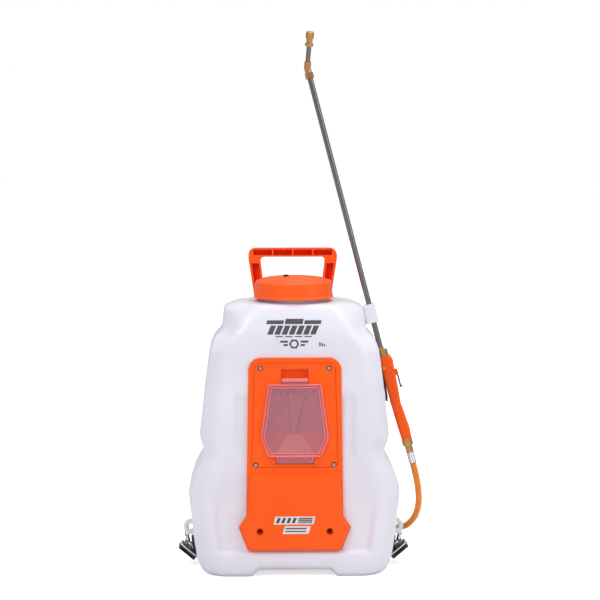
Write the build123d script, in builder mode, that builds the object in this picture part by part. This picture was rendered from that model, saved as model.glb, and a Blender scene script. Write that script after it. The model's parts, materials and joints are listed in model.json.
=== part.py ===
from build123d import *
import math
import os

os.makedirs("parts", exist_ok=True)

# Backpack sprayer. Millimetres. +X is the operator's left when worn, -Y is the side with the window,
# +Y the side that rests on the back, +Z up. The origin is on the floor under the middle of the tank.

# ---- Driving dimensions -------------------------------------------------------------------------
WALL = 3.4  # tank wall

# Tank outline, bottom to top: height, half width, front y, back y, corner radius.
TANK_LEVELS = [
    (0, 159, -86, 72, 38),
    (8, 168, -95, 79, 42),
    (30, 175.5, -101, 83, 42),
    (147, 189.5, -104, 84, 40),
    (160, 188, -104, 84, 40),
    (186, 179.5, -103, 84, 38),
    (212, 166, -102, 84, 36),
    (225, 163, -102, 84, 36),
    (251, 169.5, -102, 84, 36),
    (405, 150.2, -99, 84, 36),
    (424, 143, -95, 84, 34),
    (443, 129, -91, 84, 32),
    (474, 126, -83, 84, 30),
    (483, 112, -77, 83, 26),
    (487, 90, -70, 82, 22),
]
TANK_TOP = 487
FRONT_FLAT_Y = -96  # sunk flat that the orange cover lies on
CAVITY_FRONT_Y = -91

# Recess in the tank's front that holds the pump below and the battery bay above.
POCKET_HALF = 76
POCKET_BOTTOM, POCKET_TOP = 60, 380
POCKET_BACK_Y = 5

# Filler neck, cap and strainer
NECK_Y = -7
NECK_R = 58
NECK_BORE = 54
NECK_TOP = 513
CAP_R = 70
CAP_BOTTOM = 493
CAP_TOP = 531
VENT_X, VENT_Y = -14, NECK_Y - 8

# Carry handle
HANDLE_Y = 75
HANDLE_DEPTH = 18
HANDLE_TOP = 576
HANDLE_HALF = 81.6
HANDLE_BAR = 16
SCREW_X = 62  # handle screws

# Front cover and bay
COVER_FACE_Y = -103
COVER_BULGE_Y = -111
FRAME_FACE_Y = -101.5
DOOR_PIVOT = (0, -103.6, 209.5)
LATCH_PIVOT = (0, -103.2, 341.6)
BAY_BACK_Y = -36

# Lance: a straight line in the plane y = LANCE_Y that leans to -X at the top
LANCE_Y = -5
LANCE_LEAN = 14.77
GRIP_TOP = (161.6, LANCE_Y, 384)  # lance axis at the top of the grip
GRIP_LENGTH = 157
LANCE_R = 5
LANCE_LENGTH = 517  # tube from the top of the grip to the elbow nut

# Hose
HOSE_R = 6
COIL_CENTRE = (60, 195)
COIL_R = 66
COIL_LIFT = 1.6

# Strap hardware
LUG_X = 187.5
LUG_Y = 5
LUG_Z = 70


# ---- Helpers ------------------------------------------------------------------------------------
def save(builder, label):
    """Names a finished piece and writes it as one STEP file."""
    builder.part.label = label
    export_step(builder.part, f"parts/{label}.step")


def level_profile(level, inset=0.0, front_limit=-1000.0):
    """The rounded rectangle of one tank level, moved in by a wall thickness."""
    z, half, front, back, radius = level
    y0 = max(front + inset, front_limit)
    y1 = back - inset
    with BuildSketch(Plane.XY.offset(z)) as profile:
        with Locations((0, (y0 + y1) / 2)):
            RectangleRounded(2 * (half - inset), y1 - y0, radius - inset)
    return profile.sketch


def front_plane(y):
    """A plane facing the front at depth y: sketch x is +X, sketch y is +Z, extrude goes to -Y."""
    return Plane(origin=(0, y, 0), x_dir=(1, 0, 0), z_dir=(0, -1, 0))


def lance_plane(along):
    """A plane square to the lance, at a distance up the lance from the top of the grip."""
    lean = math.radians(LANCE_LEAN)
    up = (-math.sin(lean), 0, math.cos(lean))
    across = (math.cos(lean), 0, math.sin(lean))
    origin = tuple(o + along * u for o, u in zip(GRIP_TOP, up))
    return Plane(origin=origin, x_dir=across, z_dir=up)


def box_between(low, high, mode=Mode.ADD):
    """A box from its lowest corner to its highest."""
    centre = [(a + b) / 2 for a, b in zip(low, high)]
    size = [b - a for a, b in zip(low, high)]
    with Locations(tuple(centre)):
        Box(*size, mode=mode)


def arc_radii(points):
    """Fillet radii for a hose route: 0.45 of the shorter run over the tangent of half the turn."""
    radii = []
    for before, here, after in zip(points, points[1:], points[2:]):
        first = Vector(*here) - Vector(*before)
        second = Vector(*after) - Vector(*here)
        half_turn = math.radians(first.get_angle(second)) / 2
        radii.append(0.45 * min(first.length, second.length) / math.tan(half_turn))
    return radii


def hose_tube(points, radius, radii):
    """Sweeps a round section along straight runs joined by tangent arcs."""
    with BuildPart() as tube:
        with BuildLine():
            centre_line = FilletPolyline(*points, radius=radii)
        with BuildSketch(Plane(origin=centre_line @ 0, z_dir=centre_line % 0)):
            Circle(radius)
        sweep()
    length = centre_line.length
    ratio = tube.part.volume / (math.pi * radius**2 * length)
    print("hose length", round(length, 1), "volume against section x length", round(ratio, 4))
    print("   radii", radii)
    return tube


# ---- Tank ---------------------------------------------------------------------------------------
CONTROL_Y, CONTROL_Z = -2, 325  # middle of the control recess in the -X side
CONTROL_FLOOR_X = -142
OUTLET_X, OUTLET_Z = -18.3, 105  # outlet tube through the tank to the back
SUCTION_X, SUCTION_Z = 45, 165
ARCH_HALF, ARCH_HEIGHT, ARCH_Y = 70, 12, 30  # arches between the feet, one at the front and one behind

with BuildPart() as cavity:
    inner_levels = [(4, 160, -90, 76, 38)] + [(z, h, f, b, r) for z, h, f, b, r in TANK_LEVELS[2:-2]]
    inner_levels += [(TANK_TOP - WALL, 96, -72, 81, 22)]
    loft([level_profile(level, WALL, CAVITY_FRONT_Y) for level in inner_levels], ruled=True)
    box_between(
        (-POCKET_HALF - WALL, -120, POCKET_BOTTOM - WALL),
        (POCKET_HALF + WALL, POCKET_BACK_Y + WALL, POCKET_TOP + WALL),
        mode=Mode.SUBTRACT,
    )
    for y in (-ARCH_Y + WALL, ARCH_Y - WALL):
        far_y = math.copysign(130, y)
        box_between(
            (-ARCH_HALF - WALL, min(y, far_y), -5), (ARCH_HALF + WALL, max(y, far_y), ARCH_HEIGHT + WALL),
            mode=Mode.SUBTRACT,
        )
    with Locations(Plane(origin=(OUTLET_X, 0, OUTLET_Z), z_dir=(0, 1, 0))):
        Cylinder(8 + WALL, 200, mode=Mode.SUBTRACT)
    with Locations(Plane(origin=(-110, CONTROL_Y, CONTROL_Z), z_dir=(1, 0, 0))):
        Cylinder(8 + WALL, 100, mode=Mode.SUBTRACT)
    box_between(
        (-200, CONTROL_Y - 27 - WALL, CONTROL_Z - 32 - WALL),
        (CONTROL_FLOOR_X + WALL, CONTROL_Y + 27 + WALL, CONTROL_Z + 32 + WALL),
        mode=Mode.SUBTRACT,
    )

with BuildPart() as tank:
    loft([level_profile(level) for level in TANK_LEVELS], ruled=True)
    # sunk flat around the orange cover, closed by a ledge at the bottom
    with BuildSketch(front_plane(FRONT_FLAT_Y)):
        Polygon((-134, 47), (134, 47), (112, 400), (-112, 400), align=None)
    extrude(amount=40, mode=Mode.SUBTRACT)
    with Locations((0, NECK_Y, (TANK_TOP - 5 + NECK_TOP) / 2)):
        Cylinder(NECK_R, NECK_TOP - TANK_TOP + 5)
    with Locations((0, NECK_Y, 505)):
        Cylinder(NECK_R + 1.6, 3)
    add(cavity.part, mode=Mode.SUBTRACT)
    with Locations((0, NECK_Y, NECK_TOP - 20)):
        Cylinder(NECK_BORE - 3, 44, mode=Mode.SUBTRACT)
    with Locations((0, NECK_Y, NECK_TOP)):
        Cylinder(NECK_BORE, 6, mode=Mode.SUBTRACT)
    box_between(
        (-POCKET_HALF, -120, POCKET_BOTTOM), (POCKET_HALF, POCKET_BACK_Y, POCKET_TOP), mode=Mode.SUBTRACT
    )
    box_between((-ARCH_HALF, -130, -1), (ARCH_HALF, -ARCH_Y, ARCH_HEIGHT), mode=Mode.SUBTRACT)
    box_between((-ARCH_HALF, ARCH_Y, -1), (ARCH_HALF, 130, ARCH_HEIGHT), mode=Mode.SUBTRACT)
    with Locations((-SCREW_X, HANDLE_Y, 479), (SCREW_X, HANDLE_Y, 479)):
        Cylinder(6, 14)
        Cylinder(2.5, 20, mode=Mode.SUBTRACT)
    with Locations(Plane(origin=(OUTLET_X, 50, OUTLET_Z), z_dir=(0, 1, 0))):
        Cylinder(8, 100, mode=Mode.SUBTRACT)
    with Locations(Plane(origin=(-110, CONTROL_Y, CONTROL_Z), z_dir=(1, 0, 0))):
        Cylinder(8, 80, mode=Mode.SUBTRACT)
    box_between(
        (-200, CONTROL_Y - 27, CONTROL_Z - 32),
        (CONTROL_FLOOR_X, CONTROL_Y + 27, CONTROL_Z + 32),
        mode=Mode.SUBTRACT,
    )
    with Locations(Plane(origin=(SUCTION_X, POCKET_BACK_Y, SUCTION_Z), z_dir=(0, 1, 0))):
        Cylinder(7, 20, mode=Mode.SUBTRACT)
save(tank, "tank")

# ---- Filler cap, gasket, strainer ---------------------------------------------------------------
with BuildPart() as filler_cap:
    with BuildSketch(Plane(origin=(0, NECK_Y, 0), x_dir=(1, 0, 0), z_dir=(0, -1, 0))):
        with BuildLine():
            Polyline(
                (0, NECK_TOP + 3.2), (61.5, NECK_TOP + 3.2), (61.5, CAP_BOTTOM), (CAP_R + 1.5, CAP_BOTTOM),
                (CAP_R + 1.5, CAP_BOTTOM + 3), (CAP_R, CAP_BOTTOM + 5), (CAP_R, 513),
            )
            ThreePointArc((CAP_R, 513), (CAP_R - 2, 518), (CAP_R - 7, 521))
            ThreePointArc((CAP_R - 7, 521), (33, 528.2), (0, CAP_TOP))
            Line((0, CAP_TOP), (0, NECK_TOP + 3.2))
        make_face()
    revolve(axis=Axis((0, NECK_Y, 0), (0, 0, 1)))
    with Locations((VENT_X, VENT_Y, CAP_TOP - 4)):
        Cylinder(4, 20, mode=Mode.SUBTRACT)
save(filler_cap, "filler_cap")

with BuildPart() as cap_vent:
    with Locations((VENT_X, VENT_Y, 525)):
        Cylinder(3.8, 14)
    with Locations((VENT_X, VENT_Y, 533)):
        Cylinder(5, 2)
save(cap_vent, "cap_vent")

with BuildPart() as cap_gasket:
    with BuildSketch(Plane.XY.offset(NECK_TOP + 0.1)):
        with Locations((0, NECK_Y)):
            Circle(60)
            Circle(52, mode=Mode.SUBTRACT)
    extrude(amount=3)
save(cap_gasket, "cap_gasket")

BASKET_R = 49
BASKET_BOTTOM = 436
with BuildPart() as strainer_basket:
    with Locations((0, NECK_Y, NECK_TOP - 1.6)):
        Cylinder(NECK_BORE - 0.5, 2)
    with Locations((0, NECK_Y, (BASKET_BOTTOM + NECK_TOP - 0.6) / 2)):
        Cylinder(BASKET_R, NECK_TOP - 0.6 - BASKET_BOTTOM)
    with Locations((0, NECK_Y, (BASKET_BOTTOM + 1.6 + NECK_TOP + 5) / 2)):
        Cylinder(BASKET_R - 1.6, NECK_TOP + 5 - BASKET_BOTTOM - 1.6, mode=Mode.SUBTRACT)
    with Locations((0, NECK_Y, 470)):
        with PolarLocations(BASKET_R, 10):
            Box(8, 12, 50, mode=Mode.SUBTRACT)
save(strainer_basket, "strainer_basket")

# ---- Carry handle -------------------------------------------------------------------------------
HANDLE_OUTLINE = [(-71, TANK_TOP), (-HANDLE_HALF, 556), (-HANDLE_HALF, HANDLE_TOP), (HANDLE_HALF, HANDLE_TOP),
                  (HANDLE_HALF, 556), (71, TANK_TOP)]
HANDLE_GAP = [(-52, TANK_TOP + 5), (-60, HANDLE_TOP - HANDLE_BAR), (60, HANDLE_TOP - HANDLE_BAR),
              (52, TANK_TOP + 5)]
HANDLE_BACK = HANDLE_Y + HANDLE_DEPTH / 2
with BuildPart() as carry_handle:
    with BuildSketch(front_plane(HANDLE_BACK)) as outline:
        Polygon(*HANDLE_OUTLINE, align=None)
        fillet(outline.vertices().group_by(Axis.Y)[-1], 13)
        with BuildSketch(mode=Mode.PRIVATE) as gap:
            Polygon(*HANDLE_GAP, align=None)
            fillet(gap.vertices(), 7)
        add(gap.sketch, mode=Mode.SUBTRACT)
    extrude(amount=HANDLE_DEPTH)
    # pockets that open to the front, with ribs left between them
    with BuildSketch(front_plane(HANDLE_BACK - 3)):
        with Locations((0, HANDLE_TOP - HANDLE_BAR / 2)):
            with GridLocations(37, 0, 4, 1):
                Rectangle(34, HANDLE_BAR - 6)
        for side in (-1, 1):
            Polygon(
                (side * 56, 495), (side * 68, 495), (side * 76, 548), (side * 62.5, 548), align=None
            )
    extrude(amount=30, mode=Mode.SUBTRACT)
    with Locations((-SCREW_X, HANDLE_Y, 491), (SCREW_X, HANDLE_Y, 491)):
        Cylinder(2.5, 20, mode=Mode.SUBTRACT)
save(carry_handle, "carry_handle")

with BuildPart() as handle_screws:
    with Locations((-SCREW_X, HANDLE_Y, 496.5), (SCREW_X, HANDLE_Y, 496.5)):
        Cylinder(4.5, 3)
    with Locations((-SCREW_X, HANDLE_Y, 485), (SCREW_X, HANDLE_Y, 485)):
        Cylinder(2.5, 20)
save(handle_screws, "handle_screws")

# ---- Orange front cover -------------------------------------------------------------------------
COVER_OUTLINE = [(-83, 49), (-99.5, 91), (-86, 111), (-81.5, 394.5),
                 (81.5, 394.5), (86, 111), (99.5, 91), (83, 49)]
BULGE_OUTLINE = [(-81.5, 50), (-98, 91), (-85, 111), (-82, 188), (82, 188), (85, 111), (98, 91), (81.5, 50)]
BAY_OUTLINE = [(-77, 199), (-71, 385.8), (71, 385.8), (77, 199)]
BAY_HOLE = [(-66, 212), (-63, 378), (63, 378), (66, 212)]
COVER_SCREWS = [(-61.9, 85.4), (61.9, 85.4)]
DOCK_SCREWS = [(-33.5, 325), (33.5, 325)]
FRAME_SCREWS = [(-60.5, 376), (60.5, 376), (-69, 204), (69, 204)]

with BuildPart() as front_cover:
    with BuildSketch(front_plane(FRONT_FLAT_Y)) as face:
        Polygon(*COVER_OUTLINE, align=None)
        fillet(face.vertices().group_by(Axis.Y)[-1], 22)
        fillet(face.vertices().group_by(Axis.Y)[0], 7)
    extrude(amount=FRONT_FLAT_Y - COVER_FACE_Y)
    # lower part stands further forward, with a sloped upper edge
    with BuildSketch(front_plane(COVER_FACE_Y)) as bulge:
        Polygon(*BULGE_OUTLINE, align=None)
        fillet(bulge.vertices(), 7)
    extrude(amount=COVER_FACE_Y - COVER_BULGE_Y, taper=32)
    # hollow from behind
    with BuildSketch(front_plane(FRONT_FLAT_Y + 1)):
        Polygon((-77, 62), (-77, 186), (77, 186), (77, 62), align=None)
    extrude(amount=FRONT_FLAT_Y + 1 - COVER_FACE_Y - 3, mode=Mode.SUBTRACT)
    with BuildSketch(front_plane(FRONT_FLAT_Y - 4)):
        Polygon((-66, 68), (-66, 172), (66, 172), (66, 68), align=None)
    extrude(amount=8, mode=Mode.SUBTRACT)
    # seat for the bay frame, and the hole behind it
    with BuildSketch(front_plane(-99)) as seat:
        Polygon(*BAY_OUTLINE, align=None)
        fillet(seat.vertices(), 12)
        offset(amount=0.4)
    extrude(amount=10, mode=Mode.SUBTRACT)
    with BuildSketch(front_plane(FRONT_FLAT_Y + 1)) as hole:
        Polygon(*BAY_HOLE, align=None)
        fillet(hole.vertices(), 6)
    extrude(amount=10, mode=Mode.SUBTRACT)
    # bosses and counterbores of the two lower screws
    with Locations(*[(x, FRONT_FLAT_Y - 6, z) for x, z in COVER_SCREWS]):
        Cylinder(9, 12, rotation=(90, 0, 0))
        Cylinder(2.2, 60, rotation=(90, 0, 0), mode=Mode.SUBTRACT)
    with Locations(*[(x, COVER_BULGE_Y - 1, z) for x, z in COVER_SCREWS]):
        Cylinder(6.5, 14, rotation=(90, 0, 0), mode=Mode.SUBTRACT)
    with Locations(*[(x, -98, z) for x, z in FRAME_SCREWS]):
        Cylinder(1.6, 20, rotation=(90, 0, 0), mode=Mode.SUBTRACT)
save(front_cover, "front_cover")

with BuildPart() as cover_screws:
    with Locations(*[(x, -106.4, z) for x, z in COVER_SCREWS]):
        Cylinder(4.5, 2.8, rotation=(90, 0, 0))
    with Locations(*[(x, -108, z) for x, z in COVER_SCREWS]):
        Cylinder(1.4, 4, rotation=(90, 0, 0), mode=Mode.SUBTRACT)
    with Locations(*[(x, -100.5, z) for x, z in COVER_SCREWS]):
        Cylinder(2.1, 9, rotation=(90, 0, 0))
save(cover_screws, "cover_screws")

DOOR_OUTLINE = [(-46.4, 218.8), (-60, 252), (-46.7, 347.7), (46.7, 347.7), (60, 252), (46.4, 218.8)]
FRAME_OPENING = [(-42, 224), (-55, 254), (-42, 342), (42, 342), (55, 254), (42, 224)]
with BuildPart() as bay_frame:
    with BuildSketch(front_plane(-99)) as plate:
        Polygon(*BAY_OUTLINE, align=None)
        fillet(plate.vertices(), 12)
    extrude(amount=-99 - FRAME_FACE_Y)
    # finger recess above the door
    box_between((-26, -99, 352), (26, -90, 376))
    box_between((-24.2, -110, 353.5), (24.2, -92, 374.5), mode=Mode.SUBTRACT)
    box_between((-24.2, -110, 346), (24.2, -98, 360), mode=Mode.SUBTRACT)
    with BuildSketch(front_plane(-80)):
        Polygon(*FRAME_OPENING, align=None)
    extrude(amount=40, mode=Mode.SUBTRACT)
    # slot and two ears for the door's hinge
    box_between((-34, -103.5, 205), (34, -98, 215), mode=Mode.SUBTRACT)
    for x in (-37, 37):
        box_between((x - 2.5, -106.5, 206), (x + 2.5, FRAME_FACE_Y, 213))
    with Locations(DOOR_PIVOT):
        Cylinder(1.5, 90, rotation=(0, 90, 0), mode=Mode.SUBTRACT)
    with Locations(*[(x, -98, z) for x, z in FRAME_SCREWS]):
        Cylinder(2.0, 20, rotation=(90, 0, 0), mode=Mode.SUBTRACT)
save(bay_frame, "bay_frame")

with BuildPart() as bay_screws:
    with Locations(*[(x, FRAME_FACE_Y - 1.1, z) for x, z in FRAME_SCREWS]):
        Cylinder(4, 2.2, rotation=(90, 0, 0))
    with Locations(*[(x, FRAME_FACE_Y - 2, z) for x, z in FRAME_SCREWS]):
        Box(1, 1.6, 5, mode=Mode.SUBTRACT)
        Box(5, 1.6, 1, mode=Mode.SUBTRACT)
    with Locations(*[(x, -99.0, z) for x, z in FRAME_SCREWS]):
        Cylinder(1.6, 5.0, rotation=(90, 0, 0))
    with Locations(*[(x, -50, z) for x, z in DOCK_SCREWS]):
        Cylinder(3, 2, rotation=(90, 0, 0))
    with Locations(*[(x, -45, z) for x, z in DOCK_SCREWS]):
        Cylinder(1.5, 8, rotation=(90, 0, 0))
save(bay_screws, "bay_screws")

with BuildPart() as door_hinge_pin:
    with Locations(DOOR_PIVOT):
        Cylinder(1.5, 79, rotation=(0, 90, 0))
save(door_hinge_pin, "door_hinge_pin")

HINGE_R = 3.4
with BuildPart() as window_door:
    with BuildSketch(front_plane(-101.9)):
        Polygon(*DOOR_OUTLINE, align=None)
    extrude(amount=2.6)
    with BuildSketch(front_plane(-104.5)):
        Polygon(*DOOR_OUTLINE, align=None)
        offset(amount=-4)
        offset(amount=-2.2, mode=Mode.SUBTRACT)
    extrude(amount=1.6)
    box_between((-32.7, -104.5, 209.5), (32.7, -101.9, 220))
    with Locations(DOOR_PIVOT):
        Cylinder(HINGE_R, 65.4, rotation=(0, 90, 0))
        Cylinder(1.55, 80, rotation=(0, 90, 0), mode=Mode.SUBTRACT)
    box_between((-19, -110, 339.5), (19, -100, 352), mode=Mode.SUBTRACT)
    with Locations(LATCH_PIVOT):
        Cylinder(0.85, 42, rotation=(0, 90, 0), mode=Mode.SUBTRACT)
save(window_door, "window_door")

with BuildPart() as window_latch:
    box_between((-18.6, -104.5, 340.4), (18.6, -102.2, 350))
    box_between((-23.4, -103.6, 348.3), (23.4, -101.7, 358.5))
    box_between((-23.4, -106, 352.5), (23.4, -101.7, 358.5))
    with Locations(LATCH_PIVOT):
        Cylinder(0.8, 41, rotation=(0, 90, 0))
save(window_latch, "window_latch")

# ---- Bay behind the window ----------------------------------------------------------------------
TRAY_HALF = 61
with BuildPart() as bay_tray:
    box_between((-TRAY_HALF, FRONT_FLAT_Y, 213), (TRAY_HALF, BAY_BACK_Y, 350))
    # open front; the floor climbs towards the back wall
    with BuildSketch(Plane.YZ.offset(-TRAY_HALF + 2.5)):
        Polygon((-120, 217), (-96, 217), (-39, 252), (-39, 347.5), (-120, 347.5), align=None)
    extrude(amount=2 * TRAY_HALF - 5, mode=Mode.SUBTRACT)
    # and it is hollow underneath
    with BuildSketch(Plane.YZ.offset(-TRAY_HALF + 2.5)):
        Polygon((-90, 210), (-38.5, 210), (-38.5, 248.5), (-90, 217), align=None)
    extrude(amount=2 * TRAY_HALF - 5, mode=Mode.SUBTRACT)
    # raised ramp that guides a battery up to the dock
    with BuildSketch(Plane(origin=(0, -96, 216.9), x_dir=(1, 0, 0), z_dir=(0, -35, 57))):
        Polygon((-34, 2), (34, 2), (13, 56), (-13, 56), align=None)
    extrude(amount=4)
save(bay_tray, "bay_tray")

DOCK_FACE_Y = -49
DOCK_PLATE_Y = -41
WIRE_Y = -42.4
WIRE_R = 1.3
with BuildPart() as battery_dock:
    # back plate that lines the bay's rear wall, with the dock standing on it
    box_between((-58, DOCK_PLATE_Y, 253), (58, -39.05, 346.5))
    box_between((-37, DOCK_FACE_Y, 318), (37, DOCK_PLATE_Y, 344))
    box_between((-24, -52, 322), (24, DOCK_FACE_Y, 328))
    with Locations(*[(x, DOCK_FACE_Y, z) for x, z in DOCK_SCREWS]):
        Cylinder(1.5, 16, rotation=(90, 0, 0), mode=Mode.SUBTRACT)
save(battery_dock, "battery_dock")

with BuildPart() as battery_contacts:
    for x in (-18, -6, 6, 18):
        box_between((x - 2, -58, 324.2), (x + 2, -52, 325.8))
save(battery_contacts, "battery_contacts")

with BuildPart() as dock_wires:
    for x0, x1, x2 in ((-11, -9, -6.5), (20, 13, 6)):
        with BuildLine():
            centre_line = Spline((x0, WIRE_Y, 317.2), (x1, WIRE_Y, 290), (x2, WIRE_Y, 254.5))
        with BuildSketch(Plane(origin=centre_line @ 0, z_dir=centre_line % 0)):
            Circle(WIRE_R)
        sweep()
save(dock_wires, "dock_wires")

with BuildPart() as controller_board:
    box_between((-40, -30, 245), (40, -6, 320))
    box_between((-46, -35.95, 255), (46, -30, 310))
save(controller_board, "controller_board")

# ---- Pump in the lower part of the recess -------------------------------------------------------
PUMP_Y, PUMP_Z = -45, 105
with BuildPart() as pump_feet:
    box_between((-64, PUMP_Y - 26, POCKET_BOTTOM), (24, PUMP_Y + 26, 64))
    for x in (-52, 6):
        box_between((x - 7, PUMP_Y - 18, 64), (x + 7, PUMP_Y + 18, 88))
    with Locations((-42, PUMP_Y, PUMP_Z)):
        Cylinder(22, 62, rotation=(0, 90, 0), mode=Mode.SUBTRACT)
    box_between((-11, PUMP_Y - 24, 80), (30, PUMP_Y + 24, 132), mode=Mode.SUBTRACT)
save(pump_feet, "pump_feet")

with BuildPart() as pump_motor:
    with Locations((-42, PUMP_Y, PUMP_Z)):
        Cylinder(22, 62, rotation=(0, 90, 0))
    fillet(pump_motor.edges().filter_by(GeomType.CIRCLE).sort_by(Axis.X)[0], 3)
save(pump_motor, "pump_motor")

with BuildPart() as pump_head:
    box_between((-11, PUMP_Y - 24, 80), (30, PUMP_Y + 24, 130))
    fillet(pump_head.edges().filter_by(Axis.X), 6)
    with Locations((-2, PUMP_Y, 135), (18, PUMP_Y, 135)):
        Cylinder(5, 12)
save(pump_head, "pump_head")

with BuildPart() as pressure_switch:
    with Locations((36, PUMP_Y, 112)):
        Cylinder(9, 12, rotation=(0, 90, 0))
    box_between((42, PUMP_Y - 3, 107), (48, PUMP_Y + 3, 117))
save(pressure_switch, "pressure_switch")

with BuildPart() as suction_fitting:
    with Locations((SUCTION_X, POCKET_BACK_Y - 3, SUCTION_Z)):
        Cylinder(10, 6, rotation=(90, 0, 0))
    with Locations((SUCTION_X, POCKET_BACK_Y + 3.4, SUCTION_Z)):
        Cylinder(7, 6.8, rotation=(90, 0, 0))
    with Locations((SUCTION_X, POCKET_BACK_Y - 10, SUCTION_Z)):
        Cylinder(4, 10, rotation=(90, 0, 0))
    with Locations((SUCTION_X, 0, SUCTION_Z)):
        Cylinder(2.5, 60, rotation=(90, 0, 0), mode=Mode.SUBTRACT)
save(suction_fitting, "suction_fitting")

inner_route = [
    (SUCTION_X, -10, SUCTION_Z), (SUCTION_X, PUMP_Y, SUCTION_Z), (18, PUMP_Y, SUCTION_Z), (18, PUMP_Y, 141),
]
suction_hose = hose_tube(inner_route, 6, 12)
save(suction_hose, "suction_hose")

OUTLET_BACK_Y = 84
outlet_route = [
    (-2, PUMP_Y, 141), (-2, PUMP_Y, 184), (OUTLET_X, -14, 184), (OUTLET_X, -14, OUTLET_Z),
    (OUTLET_X, OUTLET_BACK_Y, OUTLET_Z),
]
outlet_tube = hose_tube(outlet_route, 5, 14)
save(outlet_tube, "outlet_tube")

HOSE_INNER = 4
with BuildPart() as outlet_elbow:
    with Locations((OUTLET_X, OUTLET_BACK_Y + 2, OUTLET_Z)):
        Cylinder(14, 4, rotation=(90, 0, 0))
    with Locations((OUTLET_X, OUTLET_BACK_Y + 10, OUTLET_Z)):
        Cylinder(8, 20, rotation=(90, 0, 0))
    with Locations((OUTLET_X, OUTLET_BACK_Y + 20, OUTLET_Z)):
        Sphere(8)
    with Locations((OUTLET_X, OUTLET_BACK_Y + 20, OUTLET_Z - 8)):
        Cylinder(7.5, 16)
    with Locations((OUTLET_X, OUTLET_BACK_Y + 10, OUTLET_Z)):
        Cylinder(HOSE_INNER, 20, rotation=(90, 0, 0), mode=Mode.SUBTRACT)
    with Locations((OUTLET_X, OUTLET_BACK_Y + 20, OUTLET_Z - 8)):
        Cylinder(HOSE_INNER, 16, mode=Mode.SUBTRACT)
save(outlet_elbow, "outlet_elbow")

with BuildPart() as hose_clamps:
    for place, turn, bore in (
        ((18, PUMP_Y, 147), (0, 0, 0), 6),
        ((SUCTION_X, -14, SUCTION_Z), (90, 0, 0), 6),
        ((-2, PUMP_Y, 147), (0, 0, 0), 5),
    ):
        with Locations(Location(place, turn)):
            Cylinder(bore + 1.4, 6)
            Cylinder(bore, 6, mode=Mode.SUBTRACT)
save(hose_clamps, "hose_clamps")

# ---- Control panel in the side recess -----------------------------------------------------------
PANEL_X = CONTROL_FLOOR_X - 3
SWITCH_Z = CONTROL_Z + 14
KNOB_Z = CONTROL_Z - 14
with BuildPart() as control_panel:
    box_between(
        (PANEL_X, CONTROL_Y - 26.5, CONTROL_Z - 31.5), (CONTROL_FLOOR_X, CONTROL_Y + 26.5, CONTROL_Z + 31.5)
    )
    box_between((PANEL_X - 1.5, CONTROL_Y - 13, SWITCH_Z - 9), (PANEL_X, CONTROL_Y + 13, SWITCH_Z + 9))
    box_between(
        (-160, CONTROL_Y - 10, SWITCH_Z - 6.5), (-135, CONTROL_Y + 10, SWITCH_Z + 6.5), mode=Mode.SUBTRACT
    )
    with Locations((PANEL_X, CONTROL_Y, KNOB_Z)):
        Cylinder(3.6, 20, rotation=(0, 90, 0), mode=Mode.SUBTRACT)
save(control_panel, "control_panel")

with BuildPart() as rocker_switch:
    with BuildSketch(Plane.XZ.offset(-CONTROL_Y - 9.6)):
        Polygon(
            (PANEL_X + 1.2, SWITCH_Z - 5.6), (PANEL_X - 1.2, SWITCH_Z - 5.8), (PANEL_X - 3.4, SWITCH_Z),
            (PANEL_X - 4.6, SWITCH_Z + 5.8), (PANEL_X + 1.2, SWITCH_Z + 5.6), align=None,
        )
    extrude(amount=19.2)
save(rocker_switch, "rocker_switch")

with BuildPart() as speed_knob:
    with Locations((PANEL_X - 7.3, CONTROL_Y, KNOB_Z)):
        Cylinder(9, 13, rotation=(0, 90, 0))
    with Locations((PANEL_X + 0.7, CONTROL_Y, KNOB_Z)):
        Cylinder(3.55, 3.4, rotation=(0, 90, 0))
    box_between((PANEL_X - 14.5, CONTROL_Y - 0.8, KNOB_Z), (PANEL_X - 13.8, CONTROL_Y + 0.8, KNOB_Z + 8))
    with Locations(Plane(origin=(PANEL_X - 7.3, CONTROL_Y, KNOB_Z), z_dir=(1, 0, 0))):
        with PolarLocations(9.3, 12):
            Cylinder(1, 14, mode=Mode.SUBTRACT)
save(speed_knob, "speed_knob")

# ---- Lance clip ---------------------------------------------------------------------------------
CLIP_Z = 463
clip_along = (CLIP_Z - GRIP_TOP[2]) / math.cos(math.radians(LANCE_LEAN))
with BuildPart() as lance_clip:
    with BuildSketch(lance_plane(clip_along - 17)):
        with Locations((-1.8, 0)):
            Rectangle(22, 20)
        with Locations((-15, 0)):
            Rectangle(14, 14)
        Circle(LANCE_R + 0.25, mode=Mode.SUBTRACT)
        with Locations((10, 0)):
            Rectangle(20, 2 * LANCE_R + 0.5, mode=Mode.SUBTRACT)
    extrude(amount=34)
    box_between((60, -60, 400), (127.6, 60, 520), mode=Mode.SUBTRACT)
    box_between((125.5, -16, CLIP_Z - 19), (129.8, 6, CLIP_Z + 12))
    add(tank.part, mode=Mode.SUBTRACT)
    add(cavity.part, mode=Mode.SUBTRACT)
save(lance_clip, "lance_clip")

# ---- Grip, trigger and lance --------------------------------------------------------------------
# Distance down the grip, and how far it reaches to each side of the lance axis.
GRIP_LEVELS = [(0, -7, 13, 19), (-8, -7.4, 16, 24), (-46, -7.4, 13.6, 25), (-90, -7.4, 10.4, 22),
               (-138, -5.8, 14.6, 24), (-GRIP_LENGTH, -4.6, 13.4, 22)]


def grip_profile(level):
    """One rounded section of the grip."""
    along, low, high, depth = level
    with BuildSketch(lance_plane(along)) as profile:
        with Locations(((low + high) / 2, 0)):
            RectangleRounded(high - low, depth, 6)
    return profile.sketch


def on_lance(along, across=0.0):
    """A point on, or to one side of, the lance axis."""
    return lance_plane(along).from_local_coords(Vector(across, 0, 0))


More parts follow.
